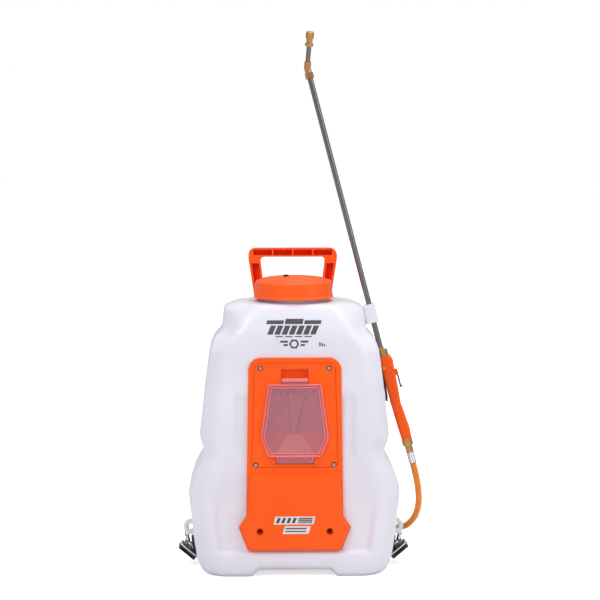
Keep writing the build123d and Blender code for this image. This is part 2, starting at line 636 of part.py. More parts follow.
HOSE_ACROSS = 4.3  # the hose end of the grip is set over from the lance axis
TRIGGER_PIVOT = on_lance(-20, -3.2)
LOCK_PIVOT = on_lance(-34, 17.4)
with BuildPart() as grip_body:
    loft([grip_profile(level) for level in GRIP_LEVELS], ruled=True)
    # slot for the trigger
    with BuildSketch(lance_plane(-86)):
        with Locations((-6.5, 0)):
            Rectangle(19, 12)
    extrude(amount=76, mode=Mode.SUBTRACT)
    with Locations(TRIGGER_PIVOT):
        Cylinder(1.5, 40, rotation=(90, 0, 0), mode=Mode.SUBTRACT)
    with Locations(lance_plane(-GRIP_LENGTH / 2)):
        with Locations((HOSE_ACROSS, 0, 0)):
            Cylinder(4, GRIP_LENGTH + 4, mode=Mode.SUBTRACT)
    # two ears and a pin for the trigger lock
    for across in (-6.1, 6.1):
        with BuildSketch(lance_plane(-39)):
            with Locations((15.5, across)):
                Rectangle(7.5, 2.4)
        extrude(amount=10)
    with Locations(LOCK_PIVOT):
        Cylinder(1, 14.6, rotation=(90, 0, 0))
save(grip_body, "grip_body")

with BuildPart() as valve_body:
    with Locations(lance_plane(-GRIP_LENGTH / 2)):
        with Locations((HOSE_ACROSS, 0, 0)):
            Cylinder(3.9, GRIP_LENGTH)
            Cylinder(2.5, GRIP_LENGTH, mode=Mode.SUBTRACT)
save(valve_body, "valve_body")

with BuildPart() as trigger_pin:
    with Locations(TRIGGER_PIVOT):
        Cylinder(1.5, 22, rotation=(90, 0, 0))
save(trigger_pin, "trigger_pin")

with BuildPart() as trigger:
    with BuildSketch(Plane(origin=(GRIP_TOP[0], LANCE_Y + 5.5, GRIP_TOP[2]),
                           x_dir=lance_plane(0).x_dir, z_dir=(0, -1, 0))):
        with BuildLine():
            Polyline((-4.8, -16), (-0.6, -16), (-0.6, -24), (-4.6, -30), (-7.4, -50), (-9.4, -72),
                     (-12.2, -82),
                     (-15, -80), (-12.6, -66), (-11.2, -48), (-10.4, -34), (-8.6, -24), (-4.8, -16))
        make_face()
    extrude(amount=11)
    with Locations(TRIGGER_PIVOT):
        Cylinder(1.55, 40, rotation=(90, 0, 0), mode=Mode.SUBTRACT)
save(trigger, "trigger")

with BuildPart() as trigger_lock:
    with BuildSketch(lance_plane(-60)):
        with Locations((18, 0)):
            Rectangle(2.4, 9)
    extrude(amount=30)
    with Locations(LOCK_PIVOT):
        Cylinder(2.6, 9, rotation=(90, 0, 0))
        Cylinder(1.05, 20, rotation=(90, 0, 0), mode=Mode.SUBTRACT)
    with BuildSketch(lance_plane(-62)):
        with Locations((19, 0)):
            Rectangle(4.4, 9)
    extrude(amount=2)
save(trigger_lock, "trigger_lock")

with BuildPart() as lance_nut:
    with BuildSketch(lance_plane(0)):
        with Locations((2.5, 0)):
            RegularPolygon(8.6, 6)
        Circle(LANCE_R, mode=Mode.SUBTRACT)
    extrude(amount=12)
    with BuildSketch(lance_plane(12)):
        Circle(5.8)
        Circle(LANCE_R, mode=Mode.SUBTRACT)
    extrude(amount=5)
save(lance_nut, "lance_nut")

with BuildPart() as lance_tube:
    with BuildSketch(lance_plane(0)):
        Circle(LANCE_R)
        Circle(LANCE_R - 1, mode=Mode.SUBTRACT)
    extrude(amount=LANCE_LENGTH)
save(lance_tube, "lance_tube")

with BuildPart() as hose_nut:
    with BuildSketch(lance_plane(-GRIP_LENGTH)):
        with Locations((HOSE_ACROSS, 0)):
            RegularPolygon(9.8, 6)
            Circle(2.5, mode=Mode.SUBTRACT)
    extrude(amount=-13)
    with BuildSketch(lance_plane(-GRIP_LENGTH - 13)):
        with Locations((HOSE_ACROSS, 0)):
            Circle(6.8)
            Circle(2.5, mode=Mode.SUBTRACT)
    extrude(amount=-13)
save(hose_nut, "hose_nut")

FERRULE_END = -GRIP_LENGTH - 46
with BuildPart() as hose_ferrule:
    with BuildSketch(lance_plane(-GRIP_LENGTH - 26)):
        with Locations((HOSE_ACROSS, 0)):
            Circle(7.4)
            Circle(4, mode=Mode.SUBTRACT)
    extrude(amount=-20)
save(hose_ferrule, "hose_ferrule")

# ---- Gooseneck and nozzle -----------------------------------------------------------------------
# The elbow nut turns about the lance; the short tube beyond it is bent off the lance.
neck_plane = lance_plane(LANCE_LENGTH)
NECK_BEND = math.radians(24)
NECK_SWING = math.radians(40)
along_dir = Vector(*neck_plane.z_dir)
across_dir = neck_plane.x_dir * math.cos(NECK_SWING) + Vector(0, -1, 0) * math.sin(NECK_SWING)
nozzle_dir = along_dir * math.cos(NECK_BEND) + across_dir * math.sin(NECK_BEND)
elbow_point = lance_plane(LANCE_LENGTH + 20).origin
NECK_TUBE = 40
nozzle_root = elbow_point + nozzle_dir * NECK_TUBE

with BuildPart() as swivel_nut:
    with BuildSketch(lance_plane(LANCE_LENGTH + 0.05)):
        RegularPolygon(7.6, 6)
    extrude(amount=11)
    with BuildSketch(lance_plane(LANCE_LENGTH + 11)):
        Circle(6)
    extrude(amount=9)
    with Locations(Location(elbow_point)):
        Sphere(6)
    with BuildSketch(Plane(origin=elbow_point, z_dir=nozzle_dir)):
        Circle(6)
    extrude(amount=11)
save(swivel_nut, "swivel_nut")

with BuildPart() as gooseneck_tube:
    with BuildSketch(Plane(origin=elbow_point + nozzle_dir * 11, z_dir=nozzle_dir)):
        Circle(4.2)
    extrude(amount=NECK_TUBE - 11)
save(gooseneck_tube, "gooseneck_tube")

with BuildPart() as nozzle_body:
    with BuildSketch(Plane(origin=nozzle_root, z_dir=nozzle_dir)):
        Circle(7.6)
    extrude(amount=4)
    with BuildSketch(Plane(origin=nozzle_root + nozzle_dir * 4, z_dir=nozzle_dir)):
        RegularPolygon(6.4, 6)
    extrude(amount=9)
    with BuildSketch(Plane(origin=nozzle_root + nozzle_dir * 13, z_dir=nozzle_dir)):
        Circle(4.5)
    extrude(amount=6)
save(nozzle_body, "nozzle_body")

with BuildPart() as nozzle_cap:
    with BuildSketch(Plane(origin=nozzle_root + nozzle_dir * 13.3, z_dir=nozzle_dir)):
        Circle(7.2)
    extrude(amount=12)
    fillet(nozzle_cap.edges().group_by(Axis.Z)[-1], 1.5)
    with BuildSketch(Plane(origin=nozzle_root + nozzle_dir * 13, z_dir=nozzle_dir)):
        Circle(4.55)
    extrude(amount=7, mode=Mode.SUBTRACT)
    with BuildSketch(Plane(origin=nozzle_root + nozzle_dir * 13, z_dir=nozzle_dir)):
        Circle(1)
    extrude(amount=20, mode=Mode.SUBTRACT)
save(nozzle_cap, "nozzle_cap")

# ---- Strap hardware and straps ------------------------------------------------------------------
# Each side is drawn with its own sign, so that left and right stay separate nodes.
with BuildPart() as strap_lugs:
    for side in (-1, 1):
        with Locations((side * LUG_X, LUG_Y, LUG_Z)):
            Cylinder(14, 8, rotation=(90, 0, 0))
    for side in (-1, 1):
        box_between((side * 179 - 6, LUG_Y - 4, LUG_Z - 16), (side * 179 + 6, LUG_Y + 4, LUG_Z + 16))
    for side in (-1, 1):
        with Locations((side * (LUG_X + 2), LUG_Y, LUG_Z)):
            Cylinder(5.6, 30, rotation=(90, 0, 0), mode=Mode.SUBTRACT)
    add(tank.part, mode=Mode.SUBTRACT)
    add(cavity.part, mode=Mode.SUBTRACT)
save(strap_lugs, "strap_lugs")

HOOK_WIRE = 1.6
for side, word in ((-1, "left"), (1, "right")):
    ring_x = side * (LUG_X + 2)
    hook_path = [
        (ring_x + side * 3, LUG_Y - 6.6, LUG_Z + 2), (ring_x + side * 3, LUG_Y + 6.6, LUG_Z + 2),
        (ring_x + side * 5, LUG_Y + 8, LUG_Z - 18), (ring_x + side * 5, LUG_Y + 8, LUG_Z - 34),
    ]
    with BuildPart() as strap_hook:
        with BuildLine():
            centre_line = FilletPolyline(*hook_path, radius=[2.4, 6])
        with BuildSketch(Plane(origin=centre_line @ 0, z_dir=centre_line % 0)):
            Circle(HOOK_WIRE)
        sweep()
        with Locations((ring_x + side * 3, LUG_Y - 7, LUG_Z + 2)):
            Sphere(2.2)
        box_between(
            (side * 193.5 - 10, LUG_Y + 5, LUG_Z - 38), (side * 193.5 + 10, LUG_Y + 9, LUG_Z - 34)
        )
    save(strap_hook, f"strap_hook_{word}")

    buckle_slope = math.radians(40)
    buckle_plane = Plane(
        origin=(side * 194, LUG_Y - 17, 25),
        x_dir=(side * math.cos(buckle_slope), 0, math.sin(buckle_slope)),
        z_dir=(0, 1, 0),
    )
    with BuildPart() as buckle:
        with BuildSketch(buckle_plane):
            Rectangle(36, 8)
            with Locations((0, -1)):
                SlotOverall(27, 3, mode=Mode.SUBTRACT)
        extrude(amount=34)
    save(buckle, f"buckle_{word}")

    # webbing: along the tank's foot, round its back corner and up to the pad
    with BuildPart() as strap_webbing:
        with BuildSketch(Plane.XY.offset(26)):
            with BuildLine():
                inner = FilletPolyline((side * 179, 32), (side * 179, 87), (side * 100, 87), radius=36)
                outer = FilletPolyline((side * 181, 32), (side * 181, 89), (side * 100, 89), radius=38)
                Line(inner @ 0, outer @ 0)
                Line(inner @ 1, outer @ 1)
            make_face()
        extrude(amount=25)
        box_between((side * 100.5 - 12.5, 86.6, 26), (side * 100.5 + 12.5, 89, 158))
    save(strap_webbing, f"strap_webbing_{word}")

    with BuildPart() as shoulder_strap:
        with BuildSketch(Plane.YZ.offset(side * 75)):
            with BuildLine():
                ThreePointArc((95, 158), (140, 310), (93, 452))
                Line((93, 452), (89.2, 462))
                Line((89.2, 462), (89.2, 440))
                ThreePointArc((89.2, 440), (128, 310), (89.2, 168))
                Line((89.2, 168), (89.2, 158))
                Line((89.2, 158), (95, 158))
            make_face()
        extrude(amount=26, both=True)
    save(shoulder_strap, f"shoulder_strap_{word}")

with BuildPart() as back_pad:
    box_between((-46, 84, 150), (46, 93, 420))
    fillet(back_pad.edges().filter_by(Axis.Y), 14)
save(back_pad, "back_pad")

with BuildPart() as strap_anchor_plate:
    box_between((-104, 84, 430), (104, 89.1, 462))
    fillet(strap_anchor_plate.edges().filter_by(Axis.Y), 5)
save(strap_anchor_plate, "strap_anchor_plate")

# ---- Hose ---------------------------------------------------------------------------------------
hose_start = on_lance(FERRULE_END, HOSE_ACROSS)
along_down = Vector(*lance_plane(0).z_dir) * -1
first_point = hose_start + along_down * 24
TOP_TURN_Z = COIL_LIFT + 3 * HOSE_R
BOTTOM_TURN_Z = COIL_LIFT + HOSE_R
COIL_FRONT_Y = COIL_CENTRE[1] - COIL_R
HOSE_ROUTE = [
    tuple(hose_start), tuple(first_point), (228.6, -5, 137), (229.5, -4, 110), (223, 1, 85.5), (209, 14, 67),
    (198, 40, 58), (191, 67, 52), (179, 94, 44), (159, 116, 35), (134, 128, 27), (107, 130.5, 21),
    (82, COIL_FRONT_Y, TOP_TURN_Z), (56, COIL_FRONT_Y, TOP_TURN_Z),
]
hose_run = hose_tube(HOSE_ROUTE, HOSE_R, arc_radii(HOSE_ROUTE))
save(hose_run, "hose_run")

with BuildPart() as hose_coil:
    with BuildSketch(Plane.XY.offset(COIL_LIFT)):
        with Locations(COIL_CENTRE):
            Circle(COIL_R + HOSE_R)
            Circle(COIL_R - HOSE_R, mode=Mode.SUBTRACT)
    extrude(amount=4 * HOSE_R)
save(hose_coil, "hose_coil")

HOSE_TAIL_ROUTE = [
    (62, COIL_FRONT_Y, BOTTOM_TURN_Z), (36, COIL_FRONT_Y - 0.5, BOTTOM_TURN_Z), (11, 124, 18), (-8, 114, 37),
    (OUTLET_X, OUTLET_BACK_Y + 20, 62), (OUTLET_X, OUTLET_BACK_Y + 20, OUTLET_Z - 16),
]
hose_tail = hose_tube(HOSE_TAIL_ROUTE, HOSE_R, arc_radii(HOSE_TAIL_ROUTE))
save(hose_tail, "hose_tail")

with BuildPart() as hose_tie:
    tie_y = COIL_CENTRE[1] + COIL_R
    box_between(
        (COIL_CENTRE[0] - 5, tie_y - HOSE_R - 1.5, 0),
        (COIL_CENTRE[0] + 5, tie_y + HOSE_R + 1.5, COIL_LIFT + 25.5),
    )
    add(hose_coil.part, mode=Mode.SUBTRACT)
save(hose_tie, "hose_tie")
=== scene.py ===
import json
import math

import bmesh
import bpy
from mathutils import Matrix, Vector


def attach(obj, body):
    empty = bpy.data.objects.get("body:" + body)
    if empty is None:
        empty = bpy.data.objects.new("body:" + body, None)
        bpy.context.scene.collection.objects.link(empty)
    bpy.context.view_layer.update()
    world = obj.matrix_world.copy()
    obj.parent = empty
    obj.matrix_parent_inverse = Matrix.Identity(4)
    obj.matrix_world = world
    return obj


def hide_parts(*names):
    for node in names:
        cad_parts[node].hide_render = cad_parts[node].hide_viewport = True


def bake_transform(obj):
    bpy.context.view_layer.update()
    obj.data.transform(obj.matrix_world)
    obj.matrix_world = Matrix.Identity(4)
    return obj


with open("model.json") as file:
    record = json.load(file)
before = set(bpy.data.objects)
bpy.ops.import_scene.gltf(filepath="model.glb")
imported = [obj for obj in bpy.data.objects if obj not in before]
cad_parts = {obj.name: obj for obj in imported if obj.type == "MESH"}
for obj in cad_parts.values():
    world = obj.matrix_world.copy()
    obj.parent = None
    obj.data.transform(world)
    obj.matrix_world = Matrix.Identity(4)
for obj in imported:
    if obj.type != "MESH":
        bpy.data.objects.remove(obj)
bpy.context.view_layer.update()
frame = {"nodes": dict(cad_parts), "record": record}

MM = 0.001


# ---- Small helpers ------------------------------------------------------------------------------
def lerp(a, b, t):
    return a + (b - a) * t


def smooth(low, high, value):
    """0 below low, 1 above high, with soft ends. Runs backwards if low is above high."""
    t = min(1.0, max(0.0, (value - low) / (high - low)))
    return t * t * (3 - 2 * t)


def placed(name, data):
    """A new object in the scene."""
    made = bpy.data.objects.new(name, data)
    bpy.context.scene.collection.objects.link(made)
    return made


def mesh_object(name, verts, faces, material=None, shade_smooth=True):
    """A mesh in metres from points in millimetres."""
    mesh = bpy.data.meshes.new(name)
    mesh.from_pydata([Vector(v) * MM for v in verts], [], faces)
    mesh.update()
    if material:
        mesh.materials.append(material)
    if shade_smooth:
        mesh.shade_smooth()
    return placed(name, mesh)


def outward(made):
    """Turns the faces of closed forms outwards."""
    bm = bmesh.new()
    bm.from_mesh(made.data)
    bmesh.ops.recalc_face_normals(bm, faces=bm.faces)
    bm.to_mesh(made.data)
    bm.free()
    return made


def apply_modifiers(made):
    """Bakes the object's modifiers into its mesh."""
    graph = bpy.context.evaluated_depsgraph_get()
    mesh = bpy.data.meshes.new_from_object(made.evaluated_get(graph))
    made.modifiers.clear()
    old = made.data
    made.data = mesh
    bpy.data.meshes.remove(old)
    return made


def sharp_by_angle(made, degrees=35):
    """Smooth shading with hard edges kept where faces meet at more than an angle."""
    made.data.shade_smooth()
    made.data.set_sharp_from_angle(angle=math.radians(degrees))


def keyed(keys, z):
    """Straight-line lookup in rows of (z, value, value, ...)."""
    if z <= keys[0][0]:
        return keys[0][1:]
    for low, high in zip(keys, keys[1:]):
        if z <= high[0]:
            t = (z - low[0]) / (high[0] - low[0])
            return tuple(lerp(a, b, t) for a, b in zip(low[1:], high[1:]))
    return keys[-1][1:]


def on_circle(centre, a, b, radius, count):
    """Points round a circle that starts at direction a and turns towards b."""
    turns = (2 * math.pi * k / count for k in range(count))
    return [centre + (a * math.cos(turn) + b * math.sin(turn)) * radius for turn in turns]


def skin(name, rings, material=None, closed=False, capped=True, degrees=None):
    """A skin over rings of points, first to last. A ring of one point is a tip."""
    verts, loops, faces = [], [], []
    for ring in rings:
        loops.append(range(len(verts), len(verts) + len(ring)))
        verts.extend(ring)
    for low, high in zip(loops, loops[1:] + (loops[:1] if closed else [])):
        count = max(len(low), len(high))
        for k in range(count):
            n = (k + 1) % count
            corners = low[k % len(low)], low[n % len(low)], high[n % len(high)], high[k % len(high)]
            face = tuple(dict.fromkeys(corners))
            if len(face) > 2:
                faces.append(face)
    if capped and not closed:
        faces += [tuple(loop) for loop in (loops[0], loops[-1]) if len(loop) > 2]
    made = outward(mesh_object(name, verts, faces, material))
    if degrees:
        sharp_by_angle(made, degrees)
    return made


def directions(path, closed=False):
    """Each point of a path with the direction between its neighbours."""
    for index, point in enumerate(path):
        ahead = path[(index + 1) % len(path)] if closed or index + 1 < len(path) else point
        behind = path[index - 1] if closed or index else point
        yield point, (ahead - behind).normalized()


def tube(name, path, radius, material, closed=False, sides=10, up=None):
    """A round bar, cord or wire along points."""
    rings = []
    for point, along in directions([Vector(p) for p in path], closed):
        up = (up - along * up.dot(along)).normalized() if up else along.orthogonal().normalized()
        rings.append(on_circle(point, along.cross(up), up, radius, sides))
    return skin(name, rings, material, closed)


def slab(verts, faces, columns, rows, place):
    """Adds a thin solid: two grids of points, joined round the rim. place(layer, s, t) gives the points."""
    start, wide = len(verts), columns + 1
    size = wide * (rows + 1)
    verts.extend(place(layer, i / columns, j / rows)
                 for layer in (0, 1) for j in range(rows + 1) for i in range(columns + 1))
    for layer in (0, 1):
        for j in range(rows):
            for i in range(columns):
                k = start + layer * size + j * wide + i
                faces.append((k, k + 1, k + 1 + wide, k + wide))
    rim = list(range(columns)) + [columns + wide * j for j in range(rows)]
    rim += [rows * wide + columns - j for j in range(columns)] + [wide * (rows - j) for j in range(rows)]
    rim = [start + k for k in rim]
    for k, n in zip(rim, rim[1:] + rim[:1]):
        faces.append((k, n, n + size, k + size))
    return rim


# ---- Materials ----------------------------------------------------------------------------------
class Nodes:
    """A node material with a Principled shader, built up by short calls."""

    def __init__(self, name):
        self.material = bpy.data.materials.new(name)
        self.material.use_nodes = True
        self.tree = self.material.node_tree
        self.shader = self.tree.nodes["Principled BSDF"]
        self.place = self.add("ShaderNodeTexCoord").outputs["Object"]

    def add(self, kind, **values):
        node = self.tree.nodes.new(kind)
        for key, value in values.items():
            if key in node.inputs:
                node.inputs[key].default_value = value
            else:
                setattr(node, key, value)
        return node

    def link(self, source, target):
        self.tree.links.new(source, target)

    def set(self, **values):
        for key, value in values.items():
            self.shader.inputs[key.replace("_", " ")].default_value = value

    def noise(self, scale, detail=3.0, rough=0.5, stretch=None):
        """A noise texture's output; stretch squeezes the pattern along each axis."""
        node = self.add("ShaderNodeTexNoise", Scale=scale, Detail=detail, Roughness=rough)
        source = self.place
        if stretch:
            mapping = self.add("ShaderNodeMapping", Scale=stretch)
            self.link(source, mapping.inputs["Vector"])
            source = mapping.outputs["Vector"]
        self.link(source, node.inputs["Vector"])
        return node.outputs["Fac"]

    def ramp(self, source, stops):
        """Colours at positions along a source value."""
        node = self.add("ShaderNodeValToRGB")
        elements = node.color_ramp.elements
        while len(elements) < len(stops):
            elements.new(0.5)
        for element, (position, colour) in zip(elements, stops):
            element.position = position
            element.color = (*colour[:3], 1)
        self.link(source, node.inputs["Fac"])
        return node.outputs["Color"]

    def range(self, source, low, high):
        """Stretches the middle of a noise over low to high."""
        ends = {"From Min": 0.3, "From Max": 0.7, "To Min": low, "To Max": high}
        node = self.add("ShaderNodeMapRange", **ends)
        self.link(source, node.inputs["Value"])
        return node.outputs["Result"]

    def colour(self, source):
        self.link(source, self.shader.inputs["Base Color"])

    def roughness(self, source):
        self.link(source, self.shader.inputs["Roughness"])

    def bump(self, *layers):
        """Height layers as (source, depth in metres), stacked."""
        normal = None
        for source, depth in layers:
            node = self.add("ShaderNodeBump", Strength=1.0, Distance=depth)
            self.link(source, node.inputs["Height"])
            if normal:
                self.link(normal, node.inputs["Normal"])
            normal = node.outputs["Normal"]
        self.link(normal, self.shader.inputs["Normal"])

    def math(self, operation, a, b):
        node = self.add("ShaderNodeMath", operation=operation)
        for socket, value in zip(node.inputs, (a, b)):
            if isinstance(value, float):
                socket.default_value = value
            else:
                self.link(value, socket)
        return node.outputs["Value"]


def shade(colour, factor):
    return tuple(min(1.0, c * factor) for c in colour)


def moulded(name, colour, rough=0.35, grain=0.00006, variation=0.06, **extra):
    """Injection-moulded plastic: a fine spark grain, slow colour drift, uneven polish."""
    m = Nodes(name)
    drift = m.noise(9, 4)
    m.colour(m.ramp(drift, [(0.3, shade(colour, 1 - variation)), (0.7, shade(colour, 1 + variation))]))
    m.roughness(m.range(m.noise(35, 4), rough - 0.06, rough + 0.08))
    m.bump((drift, 0.0004), (m.noise(900, 2), grain))
    m.set(**extra)
    return m.material


def metal(name, colour, rough, stretch, streak=0.1, scratch=0.00003):
    """Turned or drawn metal, with streaks that follow its making."""
    m = Nodes(name)
    lines = m.noise(60, 5, 0.65, stretch=stretch)
    m.colour(m.ramp(lines, [(0.3, shade(colour, 1 - streak)), (0.7, shade(colour, 1 + streak))]))
    m.roughness(m.range(m.noise(30, 3), rough - 0.07, rough + 0.1))
    m.bump((lines, scratch))
    m.set(Metallic=1.0)
    return m.material


def srgb(r, g, b):
    """Display colour 0-255 to linear."""
    def one(c):
        c /= 255
        return c / 12.92 if c <= 0.04045 else ((c + 0.055) / 1.055) ** 2.4
    return (one(r), one(g), one(b))


orange = moulded("orange_moulded", srgb(255, 90, 2), rough=0.42, variation=0.04, Specular_IOR_Level=0.28)
orange_cap = moulded("orange_cap", srgb(253, 90, 6), rough=0.4, variation=0.05, Specular_IOR_Level=0.34)
orange_grip = moulded("orange_grip", srgb(246, 88, 14), rough=0.5, grain=0.0001, variation=0.05,
                      Specular_IOR_Level=0.25)
white_plastic = moulded("natural_white", srgb(228, 226, 232), rough=0.4, Subsurface_Weight=0.15,
                        Subsurface_Scale=0.004)
black_plastic = moulded("black_moulded", srgb(30, 29, 30), rough=0.42, grain=0.00012)
# Partly the part's own grey, partly painted light: the grey is lightened to stand in for light inside the battery
# bay.
grey_plastic_painted_light = moulded("dark_grey_moulded", srgb(158, 146, 154), rough=0.5)
red_plastic = moulded("red_rocker", srgb(190, 20, 16), rough=0.25, Coat_Weight=0.4, Coat_Roughness=0.15)
rubber = moulded("black_rubber", srgb(26, 26, 28), rough=0.7, grain=0.00015)
zinc = metal("bright_zinc", (0.72, 0.72, 0.74), 0.24, (1, 1, 1))
dark_steel = metal("dark_screw", srgb(120, 30, 14), 0.45, (1, 1, 1))
steel = metal("drawn_steel", (0.21, 0.2, 0.193), 0.26, (14, 14, 0.5), streak=0.3, scratch=0.00005)
brass = metal("turned_brass", srgb(200, 152, 96), 0.3, (2, 2, 12), streak=0.14)


def tank_material():
    """Blow-moulded natural polyethylene: milky, soft sheen, faint flow marks and orange peel."""
    m = Nodes("blow_moulded_white")
    cloud = m.noise(6, 4)
    m.colour(m.ramp(cloud, [(0.25, srgb(221, 219, 229)), (0.75, srgb(231, 230, 238))]))
    m.roughness(m.range(m.noise(40, 3), 0.30, 0.42))
    flow = m.noise(26, 4, 0.55, stretch=(1.4, 1.4, 0.35))
    m.bump((flow, 0.0006), (m.noise(420, 2), 0.00006))
    m.set(Subsurface_Weight=0.2, Subsurface_Scale=0.008, Coat_Weight=0.1, Coat_Roughness=0.25)
    m.shader.inputs["Subsurface Radius"].default_value = (1.0, 1.0, 1.0)
    return m.material


tank_white = tank_material()


def hose_material():
    """Amber PVC hose with a braid just under a clear skin; painted sheen: paler yellow towards the edges that turn
    away from the view.
    """
    m = Nodes("amber_hose")
    rim = m.add("ShaderNodeLayerWeight", Blend=0.35)
    # painted sheen: deep amber where the hose faces the view, pale yellow towards its edges
    m.colour(m.ramp(rim.outputs["Facing"], [(0.1, srgb(226, 126, 10)), (0.5, srgb(246, 160, 34)),
                                            (0.9, srgb(255, 226, 140))]))
    m.roughness(m.range(m.noise(80, 3), 0.22, 0.36))
    m.bump((m.noise(300, 3), 0.0001))
    m.set(Subsurface_Weight=0.2, Subsurface_Scale=0.003, Coat_Weight=0.4, Coat_Roughness=0.12)
    return m.material


hose_amber = hose_material()


def window_material(name, low, high, alpha):
    """Translucent smoky pink window, with faint moulding haze."""
    m = Nodes(name)
    haze = m.noise(14, 4)
    m.colour(m.ramp(haze, [(0.3, low), (0.7, high)]))
    m.roughness(m.range(m.noise(50, 3), 0.08, 0.18))
    m.bump((haze, 0.0003))
    m.set(Alpha=alpha, Coat_Weight=0.3, Coat_Roughness=0.08, Specular_IOR_Level=0.6)
    return m.material


window_pink = window_material("smoky_window", srgb(214, 130, 144), srgb(224, 140, 154), 0.36)
# Painted highlight: a brighter, more opaque pink for the door's rims and lips and the latch bead.
painted_rim_highlight = window_material("window_rim_painted_highlight", srgb(255, 122, 122), srgb(255, 136, 138), 0.86)


def webbing_material(name, colour, pitch=0.0014):
    """Woven tape: two crossed waves of yarn, with fuzz and slight fading."""
    m = Nodes(name)
    waves = []
    for direction in ("X", "Z"):
        wave = m.add("ShaderNodeTexWave", wave_type="BANDS", bands_direction=direction, Scale=0.314 / pitch,
                     Distortion=0.6, Detail=1.0)
        m.link(m.place, wave.inputs["Vector"])
        waves.append(wave.outputs["Fac"])
    weave = m.math("MULTIPLY", waves[0], waves[1])
    fuzz = m.noise(600, 3)
    m.colour(m.ramp(m.math("ADD", weave, m.math("MULTIPLY", fuzz, 0.3)),
                    [(0.1, shade(colour, 0.45)), (0.9, shade(colour, 1.5))]))
    m.roughness(m.range(fuzz, 0.75, 0.95))
    m.bump((weave, 0.0006), (fuzz, 0.0002))
    m.set(Sheen_Weight=0.25, Sheen_Roughness=0.5)
    return m.material


webbing = webbing_material("black_webbing", srgb(34, 34, 37))
mesh_fabric = webbing_material("pad_fabric", srgb(42, 42, 46), pitch=0.0026)

SLOTS = {
    "white_hdpe": tank_white, "orange_plastic": orange, "white_plastic": white_plastic,
    "black_plastic": black_plastic, "dark_grey_plastic": grey_plastic_painted_light, "red_plastic": red_plastic,
    "smoky_window": window_pink, "zinc_steel": zinc, "dark_steel": dark_steel, "lance_steel": steel,
    "brass": brass, "black_rubber": rubber, "amber_hose": hose_amber, "black_webbing": webbing,
    "black_foam": mesh_fabric,
}
SLOT_OF = {s["node"]: s["material_slot"] for s in frame["record"]["subparts"]}
oiled_steel = metal("oiled_steel", (0.2, 0.16, 0.15), 0.4, (2, 2, 2))
OVERRIDES = {"filler_cap": orange_cap, "grip_body": orange_grip, "door_hinge_pin": oiled_steel}


def dress(node):
    return OVERRIDES.get(node, SLOTS[SLOT_OF[node]])


for node, made in frame["nodes"].items():
    for place in made.material_slots:
        place.material = dress(node)


# ---- Camera, light and floor --------------------------------------------------------------------
def stage_and_camera():
    scene = bpy.context.scene
    camera_data = bpy.data.cameras.new("camera")
    camera_data.lens = 106.667
    camera_data.sensor_width = 36
    camera = placed("camera", camera_data)
    camera.location = (-0.07, -3.2, 0.806)
    camera.rotation_euler = (math.radians(90 - 5.7), 0, math.radians(-1.463))
    scene.camera = camera

    floor = mesh_object("studio_floor", [(-9000, -9000, -0.3), (9000, -9000, -0.3), (9000, 9000, -0.3),
                                         (-9000, 9000, -0.3)], [(0, 1, 2, 3)])
    m = Nodes("studio_floor")
    m.colour(m.ramp(m.noise(2, 2), [(0.3, (0.80, 0.80, 0.805)), (0.7, (0.83, 0.83, 0.835))]))
    m.set(Roughness=0.9)
    lit = m.math("MULTIPLY", m.add("ShaderNodeLightPath").outputs["Is Camera Ray"], 0.62)
    m.link(lit, m.shader.inputs["Emission Strength"])
    m.shader.inputs["Emission Color"].default_value = (1, 1, 1, 1)
    floor.data.materials.append(m.material)

    # white backdrop behind the object, softer light on it
    world = bpy.data.worlds.new("studio")
    world.use_nodes = True
    nodes, link = world.node_tree.nodes, world.node_tree.links.new
    backdrop = nodes["Background"]
    backdrop.inputs["Strength"].default_value = 1.0
    backdrop.inputs["Color"].default_value = (1, 1, 1, 1)
    ambient, sky, split, rise, seen, mix = (nodes.new("ShaderNode" + kind) for kind in (
        "Background", "TexCoord", "SeparateXYZ", "ValToRGB", "LightPath", "MixShader"))
    for element, (position, value) in zip(rise.color_ramp.elements, ((0.0, 0.42), (0.75, 0.82))):
        element.position = position
        element.color = (value * 0.96, value * 0.965, value, 1)
    for source, target in (
        (sky.outputs["Generated"], split.inputs["Vector"]), (split.outputs["Z"], rise.inputs["Fac"]),
        (rise.outputs["Color"], ambient.inputs["Color"]), (seen.outputs["Is Camera Ray"], mix.inputs["Fac"]),
        (ambient.outputs["Background"], mix.inputs[1]), (backdrop.outputs["Background"], mix.inputs[2]),
        (mix.outputs["Shader"], nodes["World Output"].inputs["Surface"]),
    ):
        link(source, target)
    scene.world = world
    scene.view_settings.view_transform = "Standard"

    for name, place, size, power in (
        ("key_light", (-1.1, -1.9, 2.3), 0.9, 22),
        ("fill_light", (1.9, -1.4, 1.2), 1.2, 9),
        ("top_light", (0.5, -0.1, 2.4), 1.2, 17),
    ):
        light_data = bpy.data.lights.new(name, "AREA")
        light_data.size = size
        light_data.energy = power
        light = placed(name, light_data)
        light.location = place
        light.rotation_euler = (Vector((0, 0, 0.35)) - Vector(place)).to_track_quat("-Z", "Y").to_euler()


stage_and_camera()

# ---- Hose: the same route points as the CAD, in metres ------------------------------------------
LEAN = math.radians(14.77)
ALONG = Vector((-math.sin(LEAN), 0, math.cos(LEAN)))
ACROSS = Vector((math.cos(LEAN), 0, math.sin(LEAN)))
GRIP_TOP = Vector((0.1616, -0.005, 0.384))
HOSE_D = 0.012


def on_lance(along, across):
    """A point beside the lance axis, in metres."""
    return GRIP_TOP + ALONG * along + ACROSS * across


HOSE_START = on_lance(-0.203, 0.0043)
COIL_CENTRE = Vector((0.060, 0.195, 0))
COIL_MID = 0.066
COIL_LOW, COIL_HIGH = 0.0076, 0.0196
TURN_POINTS = 16


